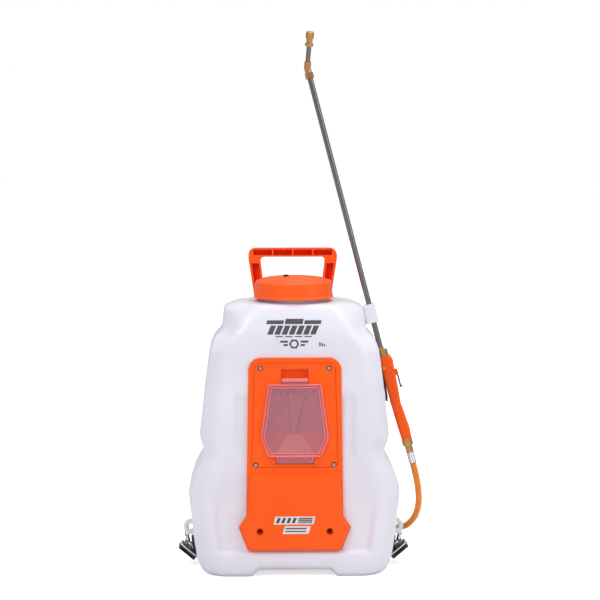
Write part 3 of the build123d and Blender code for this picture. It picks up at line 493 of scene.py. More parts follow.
def coil_points():
    """Two turns, the upper one first, wound clockwise from above and sinking to the floor."""
    points = []
    for step in range(1, 2 * TURN_POINTS):
        turned = step / TURN_POINTS
        angle = math.radians(-90) - 2 * math.pi * turned
        drop = smooth(0.75, 1.25, turned)
        radius = COIL_MID * (1 + 0.012 * math.sin(3 * angle))
        points.append((
            COIL_CENTRE.x + radius * math.cos(angle), COIL_CENTRE.y + radius * math.sin(angle),
            lerp(COIL_HIGH, COIL_LOW, drop),
        ))
    return points


HOSE_ROUTE = [
    tuple(HOSE_START), tuple(on_lance(-0.227, 0.0043)), (0.2286, -0.005, 0.137), (0.2295, -0.004, 0.110),
    (0.223, 0.001, 0.0855), (0.209, 0.014, 0.067), (0.198, 0.040, 0.058), (0.191, 0.067, 0.052),
    (0.179, 0.094, 0.044), (0.159, 0.116, 0.035), (0.134, 0.128, 0.027), (0.107, 0.1305, 0.021),
    (0.082, 0.129, COIL_HIGH), (0.060, 0.129, COIL_HIGH), *coil_points(), (0.060, 0.129, COIL_LOW),
    (0.036, 0.1285, COIL_LOW), (0.011, 0.124, 0.018), (-0.008, 0.114, 0.037), (-0.0183, 0.104, 0.062),
    (-0.0183, 0.104, 0.089),
]


def hose_line():
    """The route smoothed into a line of points, as the CAD sweeps it."""
    data = bpy.data.curves.new("hose_line", "CURVE")
    data.dimensions = "3D"
    spline = data.splines.new("NURBS")
    spline.points.add(len(HOSE_ROUTE) - 1)
    for point, place in zip(spline.points, HOSE_ROUTE):
        point.co = (*place, 1)
    spline.order_u = 3
    spline.use_endpoint_u = True
    spline.resolution_u = 8
    bare = placed("hose_line", data)
    graph = bpy.context.evaluated_depsgraph_get()
    line = [v.co.copy() for v in bpy.data.meshes.new_from_object(bare.evaluated_get(graph)).vertices]
    bpy.data.objects.remove(bare)
    return line


def hose(tie):
    line = hose_line()
    made = tube("hose", [point / MM for point in line], HOSE_D / 2 / MM, hose_amber, sides=20, up=Vector((0, -1, 0)))
    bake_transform(made)
    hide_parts("hose_run", "hose_coil", "hose_tail")


# ---- Tank: blow-moulded shell -------------------------------------------------------------------
# Height, half width, front y, back y, half width of the front flat, y where the front facet meets the side
TANK_KEYS = [
    (0, 155, -90, 74, 130, -70), (7, 165.5, -98, 80, 138, -76), (30, 175, -102, 83, 148, -80),
    (66, 180.2, -102.6, 83, 153, -82), (147, 189.4, -104, 84, 160, -82), (160, 188, -104, 84, 159, -82),
    (186, 179.3, -103.5, 84, 152, -82), (214, 163.6, -103, 84, 140, -82), (227, 160.6, -102.5, 84, 137, -82),
    (240, 166, -102, 84, 139, -82), (252, 169.4, -102, 84, 142, -82), (302, 163.7, -101, 84, 137, -80),
    (354, 158, -100, 84, 131, -78), (405, 151, -98.5, 84, 124, -72), (420, 145.5, -97.5, 84, 116, -62),
    (427, 140, -97, 84, 111, -54), (433, 133, -96, 84, 107, -46), (443, 129, -94, 84, 101, -34),
    (462, 127.2, -88, 84, 90, -26), (474, 126, -83, 84, 78, -24), (480, 118, -80, 83, 72, -24),
    (484, 104, -76, 82, 66, -24), (486.6, 88, -70, 80, 60, -24),
]
TANK_WALL = 3.4
NECK = (0, -7)
NECK_RADIUS, NECK_TOP = 58, 513
AROUND = 288


def rounded_loop(corners, count, spread):
    """Points evenly along a closed polygon, then softened so that its corners turn smoothly."""
    sides = list(zip(corners, corners[1:] + corners[:1]))
    lengths = [math.dist(a, b) for a, b in sides]
    total = sum(lengths)
    loop = []
    side, passed = 0, 0.0
    for k in range(count):
        reach = total * k / count
        while reach > passed + lengths[side]:
            passed += lengths[side]
            side += 1
        t = (reach - passed) / lengths[side]
        a, b = sides[side]
        loop.append((lerp(a[0], b[0], t), lerp(a[1], b[1], t)))
    window = max(1, round(spread / (total / count)))
    for _ in range(3):
        loop = [
            tuple(sum(loop[(k + j) % count][axis] for j in range(-window, window + 1)) / (2 * window + 1)
                  for axis in (0, 1))
            for k in range(count)
        ]
    return loop


def tank_section(z, inset=0.0, count=AROUND, soft=7.0):
    """The outline at one height. It starts at the middle of the front and runs to +X."""
    w, front, back, flat, side_front = keyed(TANK_KEYS, z)
    w, front, back, flat = w - inset, front + inset, back - inset, flat - inset / 2
    corner = 26
    corners = [(0, front), (flat, front), (w, side_front), (w, back - corner), (w - corner, back),
               (-w + corner, back), (-w, back - corner), (-w, side_front), (-flat, front)]
    return rounded_loop(corners, count, soft)


def sunk_depth(x, z):
    """How far the front is sunk: a flat at the foot and an upright crease beside the orange cover."""
    waist = smooth(128, 205, z)
    edge = lerp(133 + max(0.0, z - 47) * 0.14, 106, waist)
    blur = 4 + 26 * smooth(110, 150, z) * (1 - smooth(185, 232, z))
    across = 1 - smooth(edge - blur, edge + blur, abs(x))
    fade = smooth(42, 50, z) * (1 - smooth(318, 334, z)) * lerp(1.0, 0.6, waist)
    return 8.5 * across * fade


def fanned(name, rings):
    """A closed solid over rings, with a fan at each end."""
    ends = [[tuple(sum(values) / len(ring) for values in zip(*ring))] for ring in (rings[0], rings[-1])]
    return skin(name, [ends[0], *rings, ends[1]])


def neck_angles(ring):
    return [math.atan2(point[1] - NECK[1], point[0] - NECK[0]) for point in ring]


def neck_ring(angles, radius, z):
    """The points of a ring round the neck's axis; radius is a number or a function of the angle."""
    reach = radius if callable(radius) else lambda angle: radius
    return [(NECK[0] + reach(a) * math.cos(a), NECK[1] + reach(a) * math.sin(a), z) for a in angles]


def tank_outer():
    """One closed solid: foot, walls, shoulder and neck."""
    heights = [0, 1.2, 3, 5, 7.5, 10.5, 14, 18, 23, 28, 34, 40, 44, 46, 48, 50, 53]
    for start, step, count in ((58, 5.5, 15), (140, 3.2, 37), (258.5, 6, 24), (401, 2.6, 33)):
        heights += [start + step * k for k in range(count)]
    rows = [tank_section(z) for z in heights]
    # soften up the height as well, so that facets meet in round edges
    for _ in range(2):
        rows = [rows[0]] + [
            [tuple((a[i] + 2 * b[i] + c[i]) / 4 for i in (0, 1)) for a, b, c in zip(*three)]
            for three in zip(rows, rows[1:], rows[2:])
        ] + [rows[-1]]
    # foot, from the middle outwards
    rings = [[(x * t, y * t, 0.0) for x, y in rows[0]] for t in (0.12, 0.35, 0.6, 0.8, 0.92)]
    for z, row in zip(heights, rows):
        rings.append([(x, y + (sunk_depth(x, z) if y < -60 else 0), z) for x, y in row])
    start = heights[-1]
    angles = neck_angles(rows[-1])
    base = neck_ring(angles, 61, 0)
    for t, rise in ((0.1, 0.8), (0.25, 1.4), (0.45, 1.9), (0.65, 2.2), (0.85, 2.5), (0.95, 2.9)):
        rings.append([(lerp(x, bx, t), lerp(y, by, t), start + rise) for (x, y), (bx, by, _) in zip(rows[-1], base)])
    for radius, rise in ((60.4, 3.4), (59.2, 4.4), (58.4, 6), (NECK_RADIUS, 8)):
        rings.append(neck_ring(angles, radius, start + rise))
    # two turns of coarse thread
    for k in range(22):
        z = 496.5 + k * 0.68
        fade = smooth(496.5, 498.5, z) * (1 - smooth(508.5, 510.8, z))

        def thread_radius(angle):
            phase = ((z - 497) / 6.0 - angle / (2 * math.pi)) % 1.0
            return NECK_RADIUS + 1.5 * fade * max(0.0, math.cos(2 * math.pi * phase)) ** 1.5
        rings.append(neck_ring(angles, thread_radius, z))
    for radius, z in ((NECK_RADIUS, 512.2), (NECK_RADIUS - 0.7, NECK_TOP), (40, NECK_TOP), (15, NECK_TOP)):
        rings.append(neck_ring(angles, radius, z))

    def lifted(x, y, z):
        """Arches between the feet, front and back."""
        arch = (1 - smooth(64, 77, abs(x))) * smooth(24, 36, abs(y)) * 12
        return x, y, z + arch * (1 - smooth(0, 30, z))
    return fanned("tank_shell", [[lifted(*point) for point in ring] for ring in rings])


def tank_inner():
    """The hollow, neck bore included."""
    rings = []
    for z in [16, 22, 30] + [60 + 15 * k for k in range(25)] + [430, 440, 450, 465, 478, 483]:
        rings.append([(x, max(y, -89), z) for x, y in tank_section(z, TANK_WALL + 1.5, 96, 10)])
    angles = neck_angles(rings[-1])
    return fanned("tank_hollow", rings + [neck_ring(angles, 54, z) for z in (486, 530)])


BOX_FACES = [(0, 1, 3, 2), (4, 6, 7, 5), (0, 4, 5, 1), (2, 3, 7, 6), (0, 2, 6, 4), (1, 5, 7, 3)]


def block(name, low, high, material=None):
    """A box between two corners."""
    xs, ys, zs = zip(low, high)
    return mesh_object(name, [(x, y, z) for x in xs for y in ys for z in zs], BOX_FACES, material)


def rod(name, start, end, radius, sides=32, material=None):
    """A closed round bar between two points."""
    return tube(name, (start, end), radius, material, sides=sides)


def cut(made, *tools, operation="DIFFERENCE"):
    """Boolean with each tool, which is then removed."""
    for tool in tools:
        modifier = made.modifiers.new("cut", "BOOLEAN")
        modifier.object = tool
        modifier.operation = operation
        modifier.solver = "EXACT"
        apply_modifiers(made)
        bpy.data.objects.remove(tool)
    return made


def tank():
    shell = tank_outer()
    hollow = tank_inner()
    wall = TANK_WALL
    cut(hollow,
        block("pocket_wall", (-76 - wall, -130, 60 - wall), (76 + wall, 5 + wall, 380 + wall)),
        block("control_wall", (-200, -29 - wall, 293 - wall), (-142 + wall, 25 + wall, 357 + wall)),
        rod("outlet_wall", (-18.3, 0, 105), (-18.3, 120, 105), 8 + wall),
        rod("wire_wall", (-150, -2, 325), (-60, -2, 325), 8 + wall))
    cut(shell, hollow,
        block("pocket", (-76, -130, 60), (76, 5, 380)),
        block("control_recess", (-200, -29, 293), (-142, 25, 357)),
        rod("outlet_hole", (-18.3, 0, 105), (-18.3, 120, 105), 8),
        rod("wire_hole", (-150, -2, 325), (-70, -2, 325), 8))
    sharp_by_angle(shell, 50)
    finish(shell, "tank", material=tank_white)


# ---- Shared builders for the other pieces -------------------------------------------------------
BODY_OF = {node: body for body, nodes in frame["record"]["behaviour"]["bodies"].items() for node in nodes}


def finish(made, node, material=None):
    """Rides the piece on the node's body and lets it stand for the node."""
    if material:
        made.data.materials.clear()
        made.data.materials.append(material)
    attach(made, BODY_OF[node])
    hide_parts(node)
    return made


def trim(made, body):
    """A detail that stands for no CAD node."""
    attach(made, body)


def round_edges(made, width, segments=2, degrees=32):
    """Rounds the hard edges and keeps the flats looking flat."""
    bevel = made.modifiers.new("bevel", "BEVEL")
    bevel.width = width * MM
    bevel.segments = segments
    bevel.limit_method = "ANGLE"
    bevel.angle_limit = math.radians(degrees)
    apply_modifiers(made)
    made.data.polygons.foreach_set("use_smooth", [True] * len(made.data.polygons))
    made.modifiers.new("flats", "WEIGHTED_NORMAL")
    return apply_modifiers(made)


def bevelled(node, width, segments=2, material=None, degrees=32):
    """The CAD node's shape with its moulded edges rounded."""
    mesh = frame["nodes"][node].data.copy()
    bm = bmesh.new()
    bm.from_mesh(mesh)
    bmesh.ops.remove_doubles(bm, verts=bm.verts, dist=2e-6)
    bmesh.ops.dissolve_limit(bm, angle_limit=math.radians(0.6), verts=bm.verts, edges=bm.edges)
    bm.to_mesh(mesh)
    bm.free()
    made = round_edges(placed(node + "_moulding", mesh), width, segments, degrees)
    return finish(made, node, material=material or dress(node))


def join(name, *parts):
    """One mesh object from several, in order, materials merged by name."""
    bm = bmesh.new()
    materials = []
    for part in parts:
        start = len(bm.faces)
        bm.from_mesh(part.data)
        bm.faces.ensure_lookup_table()
        own = list(part.data.materials) or [None]
        for m in own:
            if m not in materials:
                materials.append(m)
        for face in bm.faces[start:]:
            face.material_index = materials.index(own[min(face.material_index, len(own) - 1)])
    mesh = bpy.data.meshes.new(name)
    bm.to_mesh(mesh)
    bm.free()
    for m in materials:
        if m:
            mesh.materials.append(m)
    for part in parts:
        bpy.data.objects.remove(part)
    return placed(name, mesh)


def lathe(name, profile, origin=(0, 0, 0), axis=(0, 0, 1), steps=96, material=None):
    """Turns a closed profile of (radius, height) points round an axis; radius 0 ends in a point."""
    spin = Vector(axis).normalized()
    side = Vector((1, 0, 0)) if abs(spin.z) > 0.99 else spin.orthogonal().normalized()
    rings = [on_circle(Vector(origin) + spin * height, side, spin.cross(side), radius, steps if radius else 1)
             for radius, height in profile]
    return skin(name, rings, material, capped=False, degrees=40)


def inset_outline(points, distance):
    """A convex outline moved inwards; points run anticlockwise."""
    count = len(points)
    lines = []
    for k in range(count):
        (x0, y0), (x1, y1) = points[k], points[(k + 1) % count]
        length = math.dist((x0, y0), (x1, y1))
        nx, ny = -(y1 - y0) / length, (x1 - x0) / length
        lines.append((nx, ny, nx * x0 + ny * y0 + distance))
    out = []
    for k in range(count):
        (a, b, c), (d, e, f) = lines[k - 1], lines[k]
        det = a * e - b * d
        out.append(((c * e - b * f) / det, (a * f - c * d) / det))
    return out


def rounded(points, radius, steps=5):
    """Replaces each corner of an outline by an arc."""
    out = []
    count = len(points)
    for k in range(count):
        here = Vector(points[k])
        before, after = Vector(points[k - 1]) - here, Vector(points[(k + 1) % count]) - here
        half = before.angle(after) / 2
        reach = min(radius / math.tan(half), 0.45 * before.length, 0.45 * after.length)
        start, end = here + before.normalized() * reach, here + after.normalized() * reach
        for j in range(steps + 1):
            t = j / steps
            out.append(tuple(start.lerp(here, t).lerp(here.lerp(end, t), t)))
    return out


def panel(name, outline, profile, radius, materials, painted_highlight_rows=()):
    """A plate facing the front. profile rows are (inset, y), from the back's middle round to the front's.

    Rows named in the last argument take the second material, a painted highlight for rims and lips."""
    rings = []
    for inset, y in profile:
        rings.append([(x, y, z) for x, z in rounded(inset_outline(outline, inset), max(0.6, radius - inset))])
    made = skin(name, rings)
    for m in materials:
        made.data.materials.append(m)
    for face in made.data.polygons:
        face.material_index = int(face.index // len(rings[0]) in painted_highlight_rows)
    sharp_by_angle(made, 30)
    return made


tank()


# ---- Orange cover, bay frame, handle and cap ----------------------------------------------------
# Painted shade: a deeper orange for the faces of the carry handle that stand in its own shade.
painted_shade_orange = moulded("orange_shadowed", srgb(255, 52, 4), rough=0.5, variation=0.05, Specular_IOR_Level=0.25)


def handle():
    made = bevelled("carry_handle", 1.1, 3)
    made.data.materials.append(painted_shade_orange)
    # front-facing faces at the back of the handle take the painted shade
    for face in made.data.polygons:
        if face.center.y > 0.0795 and face.normal.y < -0.9:
            face.material_index = 1


def cap():
    outer = [(63.5, 0), (71.2, 0), (71.9, 0.6), (72.0, 2.2), (71.4, 3.2), (70.6, 3.8), (70.3, 5), (70, 14),
             (69.7, 24.5), (69.3, 27), (68.2, 29), (66.4, 30.4), (63.8, 31.3), (61, 31.7), (59.5, 32.1)]
    dome = [(59.5 * math.cos(a), 32.1 + 6.1 * math.sin(a)) for a in
            (math.radians(d) for d in (8, 18, 30, 42, 54, 66, 76, 84))]
    # inside, soft ridges down the bore
    inner = [(61.5 - max(0.0, math.cos(k * math.pi / 3)), 20 - k * 1.4) for k in range(12)]
    profile = outer + dome + [(0, 38.2), (0, 23.2), (61.5, 23.2)] + inner + [(61.5, 2), (63.5, 0)]
    made = lathe("cap_moulding", profile, (0, NECK[1], 493), steps=160)
    finish(made, "filler_cap", material=orange_cap)
    vent = lathe("vent_button", [(0, 518), (3.8, 518), (3.8, 531.2), (5, 531.6), (5.2, 532.4), (5.0, 533.6),
                                 (4.2, 534), (3.2, 533.7), (0, 533.4)], (-14, NECK[1] - 8, 0), steps=40)
    finish(vent, "cap_vent", material=black_plastic)


bevelled("front_cover", 1.6, 3)
bevelled("bay_frame", 0.9, 2)
# Painted light: a paler orange for the upward faces of the tray's ramp, where light falls.
ramp_painted_light = moulded("ramp_painted_light", srgb(255, 176, 130), rough=0.45, variation=0.03)


def bay():
    """Tray with painted light on its ramp (a paler orange on the upward faces), and the dock with its dark slot bar.
    """
    tray = bevelled("bay_tray", 0.8, 2)
    tray.data.materials.append(ramp_painted_light)
    # upward faces of the ramp take the painted light
    for face in tray.data.polygons:
        x, y, z = face.center / MM
        if abs(x) < 35 and (z - 217) - (y + 96) * 35 / 57 > 2.5 and z < 262 and face.normal.z > 0.3:
            face.material_index = 1
    dock = bevelled("battery_dock", 0.8, 2)
    dock.data.materials.append(black_plastic)
    for face in dock.data.polygons:
        if face.center.y < -0.0495:
            face.material_index = 1


bay()
handle()
cap()

# ---- Window door and latch ----------------------------------------------------------------------
DOOR_OUTLINE = [(46.4, 218.8), (60, 252), (46.7, 347.7), (-46.7, 347.7), (-60, 252), (-46.4, 218.8)]
DOOR_PIVOT = (-103.6, 209.5)


def window():
    # the rim and lip rows of the door and its tab carry the painted highlight
    pane = panel("door_pane", DOOR_OUTLINE,
                 [(7, -101.9), (0.5, -101.9), (0, -102.4), (0, -105.1), (0.5, -105.7), (1.7, -105.7), (2.2, -105.2),
                  (2.4, -103.9), (4.6, -103.9), (4.9, -105.0), (5.3, -105.4), (6.1, -105.4), (6.5, -105.0),
                  (7.4, -104.3)], 3.5, (window_pink, painted_rim_highlight), painted_highlight_rows=(2, 3, 4, 5, 9, 10, 11))
    tab = panel("door_tab", [(32.7, 206.6), (32.7, 220.4), (-32.7, 220.4), (-32.7, 206.6)],
                [(3, -101.9), (0.4, -101.9), (0, -102.3), (0, -105.2), (0.4, -105.7), (1.4, -105.7), (1.8, -105.2),
                 (2.0, -104.5)], 1.5, (window_pink, painted_rim_highlight), painted_highlight_rows=(2, 3, 4, 5))
    barrel = rod("door_barrel", (-32.4, *DOOR_PIVOT), (32.4, *DOOR_PIVOT), 3.2, material=window_pink)
    cut(pane, tab, barrel, operation="UNION")
    cut(pane, block("pin_way", (-19.4, -103.8, 339.2), (19.4, -100, 350)),
        rod("pin_bore", (-33, *DOOR_PIVOT), (33, *DOOR_PIVOT), 1.6, 20))
    pane.name = "door_window"
    sharp_by_angle(pane, 30)
    finish(pane, "window_door")

    latch = panel("latch_tongue", [(18.4, 340.6), (18.4, 351), (-18.4, 351), (-18.4, 340.6)],
                  [(3, -101.9), (0.3, -101.9), (0, -102.2), (0, -103.2), (0.3, -103.5), (2.0, -103.5)],
                  1.2, (window_pink, painted_rim_highlight), painted_highlight_rows=(2, 3))
    web = block("latch_web", (-23.2, -103.4, 348.4), (23.2, -101.9, 353), window_pink)
    # the latch tongue's lip rows and its bead carry the painted highlight
    bead = block("latch_bead", (-23.2, -105.6, 352.4), (23.2, -101.9, 358.4), painted_rim_highlight)
    round_edges(web, 0.4, 2)
    round_edges(bead, 1.2, 3)
    finish(join("door_latch_tongue", latch, web, bead), "window_latch")


window()

# ---- Generic print on the tank and badge on the cover -------------------------------------------
print_grey = moulded("printed_grey", srgb(74, 73, 80), rough=0.55, grain=0.00003, variation=0.12)
badge_silver = metal("badge_silver", (0.78, 0.77, 0.76), 0.3, (3, 3, 3), streak=0.08)


def slanted(x0, x1, z0, z1, lean=0.22):
    """A leaning bar as an outline, anticlockwise seen from the front."""
    shift = (z1 - z0) * lean
    return [(x0, z0), (x1, z0), (x1 + shift, z1), (x0 + shift, z1)]


def ink(name, outlines, surface_y, material, raise_by=0.16, sink=0.5, step=3.0):
    """Thin raised shapes that follow a surface. Each outline has four corners."""
    verts, faces = [], []
    for a, b, c, d in outlines:
        def place(layer, s, t):
            x = lerp(lerp(a[0], b[0], s), lerp(d[0], c[0], s), t)
            z = lerp(lerp(a[1], b[1], s), lerp(d[1], c[1], s), t)
            return x, surface_y(x, z) + (sink if layer else -raise_by), z
        slab(verts, faces, max(1, round(math.dist(a, b) / step)), max(1, round(math.dist(a, d) / step)), place)
    return outward(mesh_object(name, verts, faces, material, shade_smooth=False))


def hexagon_ring(x, z, outer, inner):
    corner = [(math.cos(math.radians(60 * k)), math.sin(math.radians(60 * k))) for k in range(7)]
    return [[(x + r * ux, z + r * uz) for r, (ux, uz) in ((outer, a), (outer, b), (inner, b), (inner, a))]
            for a, b in zip(corner, corner[1:])]


def emblem():
    shell = bpy.data.objects["tank_shell"]

    def tank_front(x, z):
        hit, place, _, _ = shell.ray_cast(Vector((x, -200, z)) * MM, Vector((0, 1, 0)))
        return place.y / MM if hit else -96

    bars = [slanted(-50, -20, 453, 459.5), slanted(-17.5, 14, 453, 462), slanted(16.5, 46, 453, 459.5)]
    bars += [slanted(-48.5 + 12.6 * k, -39 + 12.6 * k, 435, 450.5, 0.42) for k in range(7)]
    bars += [slanted(-34 + 17 * k, -21 + 17 * k, 430.6, 432.4) for k in range(4)]
    bars += hexagon_ring(-1, 418.5, 9, 5.6)
    bars += [slanted(-26, -12.5, 421, 424.4), slanted(-20, -12.5, 415, 418.4)]
    bars += [slanted(10, 23.5, 421, 424.4), slanted(10, 17.5, 415, 418.4)]
    bars += [slanted(43 + 4.2 * k, 45.6 + 4.2 * k, 414.5, 421.5 - k * 1.8, 0) for k in range(3)]
    trim(ink("tank_print", bars, tank_front, print_grey), "tank")

    def cover_front(x, z):
        return -111.0

    plate = ink("badge_plates", [slanted(-38, 33, 98.6, 112.8), slanted(-22, 24, 81.5, 95.5, 0.3)], cover_front,
                badge_silver, 0.55)
    lines = ink("badge_lines", [slanted(-34 + 9.4 * k, -28.6 + 9.4 * k, 101, 110.4, 0.4) for k in range(4)]
                + [slanted(6, 31, 107.6, 110.2), slanted(5.4, 30.4, 103.9, 106.5), slanted(4.8, 29.8, 101, 102.6)]
                + [slanted(-17, 20, 90, 92.4), slanted(-17.6, 19.4, 85, 87)], cover_front, print_grey, 0.8)
    trim(join("cover_badge", plate, lines), "tank")


emblem()

# ---- Grip, trigger and metal fittings -----------------------------------------------------------
bevelled("grip_body", 2.2, 4, degrees=28)
bevelled("trigger", 0.9, 3)
bevelled("trigger_lock", 0.5, 2)
for fitting, width in (("lance_nut", 0.5), ("hose_nut", 0.6), ("swivel_nut", 0.5), ("nozzle_body", 0.5),
                       ("nozzle_cap", 0.5)):
    bevelled(fitting, width)


def ferrule():
    """Crimped steel ferrule on the hose end, with rolled rings."""
    top, length = 0.183, 20
    profile = [(6.1, 0), (7.1, 0), (7.4, 0.4)]
    for k in range(36):
        s = 1.2 + k * 0.5
        pinch = 0.9 * (0.5 - 0.5 * math.cos(2 * math.pi * s / 4.4)) if s < 17.6 else 0
        profile.append((7.4 - pinch, s))
    profile += [(7.4, length - 0.4), (7.1, length), (6.1, length), (6.1, 0)]
    origin = on_lance(-top, 0.0043) / MM
    made = lathe("crimped_ferrule", profile, origin, -ALONG, steps=48)
    finish(made, "hose_ferrule", material=zinc)


ferrule()
bevelled("lance_clip", 0.9, 3)

# ---- Small mouldings ----------------------------------------------------------------------------
for fitting, width in (("control_panel", 1.0), ("rocker_switch", 0.7), ("speed_knob", 0.5),
                       ("outlet_elbow", 0.6), ("strap_lugs", 1.4), ("strap_anchor_plate", 1.2),
                       ("pump_feet", 0.8), ("pump_head", 0.8), ("controller_board", 0.5)):
    bevelled(fitting, width)


# ---- Screws -------------------------------------------------------------------------------------
def screw(name, place, radius, axis=(0, -1, 0), material=None):
    """A pan head with a cross recess, seated on a surface and facing along axis."""
    height = 1.8
    head = lathe(name, [(0, -2.4), (radius * 0.5, -2.4), (radius * 0.5, 0), (radius, 0), (radius, height * 0.45),
                        (radius * 0.93, height * 0.75), (radius * 0.7, height * 0.95), (0, height)],
                 place, axis, steps=28, material=material or screw_metal)
    out = Vector(axis)
    middle = Vector(place) + out * (height - 0.5)
    for turn in (45, 135):
        arm = out.orthogonal().normalized()
        arm.rotate(Matrix.Rotation(math.radians(turn), 3, out))
        verts = [middle + arm * a * radius * 0.62 + out.cross(arm) * b * 0.42 + out * c
                 for a in (-1, 1) for b in (-1, 1) for c in (0, 1.4)]
        cut(head, mesh_object("recess", verts, BOX_FACES, painted_shade_brown))
    return head


screw_metal = metal("screw_plate", (0.46, 0.44, 0.44), 0.3, (2, 2, 2))
# Painted shade: a dark brown given to the cross-recess cutters, the rings round the bay screw heads and the dock
# screws inside the bay.
painted_shade_brown = moulded("recess_shadow", srgb(52, 22, 16), rough=0.7)


DOCK_SCREW_Z = 325


def bay_fasteners():
    heads = []
    for index, (x, z) in enumerate(((-60.5, 376), (60.5, 376), (-69, 204), (69, 204))):
        heads.append(screw(f"bay_screw_{index}", (x, -101.7, z), 3.2))
        heads.append(lathe(f"bay_washer_{index}", [(3.3, 0), (4.5, 0), (4.5, 0.35), (3.3, 0.35), (3.3, 0)],
                           (x, -101.4, z), (0, -1, 0), steps=32, material=painted_shade_brown))
    for index, x in enumerate((-33.5, 33.5)):
        heads.append(screw(f"dock_screw_{index}", (x, -49.1, DOCK_SCREW_Z), 3.0, material=painted_shade_brown))
    heads.append(block("dock_bar", (-23.4, -52.8, 322.6), (23.4, -51.9, 327.4), rubber))
    finish(join("bay_fasteners", *heads), "bay_screws")
    lower = [screw(f"cover_screw_{k}", (x, -105.4, 85.4), 4.3, material=dark_steel)
             for k, x in enumerate((-61.9, 61.9))]
    finish(join("cover_fasteners", *lower), "cover_screws")


bay_fasteners()


# ---- Straps, pad and webbing --------------------------------------------------------------------
def arc_through(a, b, c, steps):
    """Points on the circle through three points of a plane."""
    (ax, ay), (bx, by), (cx, cy) = a, b, c
    d = 2 * (ax * (by - cy) + bx * (cy - ay) + cx * (ay - by))
    aa, bb, cc = ax**2 + ay**2, bx**2 + by**2, cx**2 + cy**2
    ux = (aa * (by - cy) + bb * (cy - ay) + cc * (ay - by)) / d
    uy = (aa * (cx - bx) + bb * (ax - cx) + cc * (bx - ax)) / d
    radius = math.dist(a, (ux, uy))
    first, last = math.atan2(ay - uy, ax - ux), math.atan2(cy - uy, cx - ux)
    turns = [lerp(first, last, k / steps) for k in range(steps + 1)]
    return [(ux + radius * math.cos(turn), uy + radius * math.sin(turn)) for turn in turns]


def strap(name, path, across, width, thickness, material, closed=False, columns=18):
    """A flat band of one width and thickness, or a padded one where they are functions of s and (s, u)."""
    path = [Vector(p) for p in path]
    across = Vector(across)
    padded = callable(thickness)
    steps = [(b - a).length for a, b in zip(path, path[1:])]
    done = 0.0
    rings = []
    for (point, along), step in zip(directions(path, closed), steps + [0.0]):
        out = along.cross(across).normalized()
        s = done / sum(steps)
        done += step
        half = (width(s) if padded else width) / 2
        ring = []
        for side in (1, -1):
            for k in range(columns + 1):
                u = side * (2 * k / columns - 1)
                if abs(u) == 1 and side == -1:
                    continue
                edge = (1 - abs(u) ** (6 if padded else 14)) ** 0.5
                deep = thickness(s, u) if padded else thickness / 2
                ring.append(point + across * half * u + out * side * deep * edge)
        rings.append(ring)
    return skin(name, rings, material, closed, degrees=60)


thread = moulded("stitching_thread", srgb(96, 94, 98), rough=0.8, grain=0.0002)


def stitches(name, path, out):
    """A row of short raised thread stitches along points."""
    length, gap, radius = 2.6, 1.3, 0.32
    path = [Vector(p) for p in path]
    out = Vector(out)
    parts, carried = [], 0.0
    for a, b in zip(path, path[1:]):
        span = (b - a).length
        at = carried
        while at + length <= span:
            start, end = a.lerp(b, at / span), a.lerp(b, (at + length) / span)
            middle = (start + end) / 2 + out * radius
            parts.append(tube("stitch", [start, start.lerp(middle, 0.6), middle, end.lerp(middle, 0.6), end], radius,
                              thread, sides=5))
            at += length + gap
        carried = max(0.0, at - span)
    return join(name, *parts)


STRAP_X = 75
STRAP_LOW, STRAP_MID, STRAP_HIGH = (92.3, 160), (134, 310), (91.6, 450)


def quilted(base, seams):
    """Half thickness along a padded strap, pinched at its sewn channels and near its edges."""
    def deep(s, u):
        body = lerp(0.55, 1.0, smooth(0, 0.14, s) * (1 - smooth(0.86, 1.0, s)))
        pinch = sum(math.exp(-(((s - seam) / 0.012) ** 2)) for seam in seams)
        hem = math.exp(-(((abs(u) - 0.82) / 0.05) ** 2))
        return base * body * (1 - 0.5 * min(1.0, pinch)) * (1 - 0.3 * hem)
    return deep


def strap_width(s):
    return lerp(42, 51, smooth(0, 0.2, s))


def shoulder_straps():
    count = 132
    arc = arc_through(STRAP_LOW, STRAP_MID, STRAP_HIGH, count)
    for side, word in ((-1, "left"), (1, "right")):
        x = side * STRAP_X
        path = [Vector((x, y, z)) for y, z in arc]
        padded = strap(f"padded_strap_{word}", path, (1, 0, 0), strap_width,
                       quilted(6.2, (0.16, 0.3, 0.44, 0.58, 0.72, 0.86)), mesh_fabric, columns=28)
        finish(padded, f"shoulder_strap_{word}")
        outer = []
        for k, (point, along) in enumerate(directions(path)):
            lift = lerp(4.6, 7.2, smooth(0, 0.14, k / count) * (1 - smooth(0.86, 1.0, k / count)))
            outer.append(point + Vector((0, along.z, -along.y)) * lift)
        tape = strap(f"strap_tape_{word}", outer[4:118], (1, 0, 0), 25, 1.5, webbing)
        rows = [stitches("row", [p + Vector((offset, 0.6, 0)) for p in outer[6:116:2]], (0, 1, 0))
                for offset in (-10.5, 10.5)]
        edging = [tube("binding", [p + Vector((edge * (strap_width(k / count) / 2 - 0.4), 0, 0))
                                   for k, p in enumerate(path)], 1.5, webbing, sides=8) for edge in (-1, 1)]
        trim(join(f"strap_binding_{word}", tape, *rows, *edging), "tank")
        trim(adjuster(f"strap_adjuster_{word}", outer[16], outer[24]), "tank")


def adjuster(name, low, high):
    """A moulded three-bar slide across the tape."""
    along = (high - low).normalized()
    out = along.cross(Vector((-1, 0, 0))).normalized()
    centre = (low + high) / 2 + out * math.copysign(1.6, out.y)
    wide = Vector((17, 0, 0))
    parts = [rod("bar", centre + along * t - wide, centre + along * t + wide, 2.1, 12, black_plastic)
             for t in (-9, 0, 9)]
    parts += [rod("rail", centre - along * 11 + end, centre + along * 11 + end, 2.5, 12, black_plastic)
              for end in (-wide, wide)]
    return join(name, *parts)


PAD_HALF, PAD_LOW, PAD_HIGH, PAD_CORNER = 45, 152, 418, 14


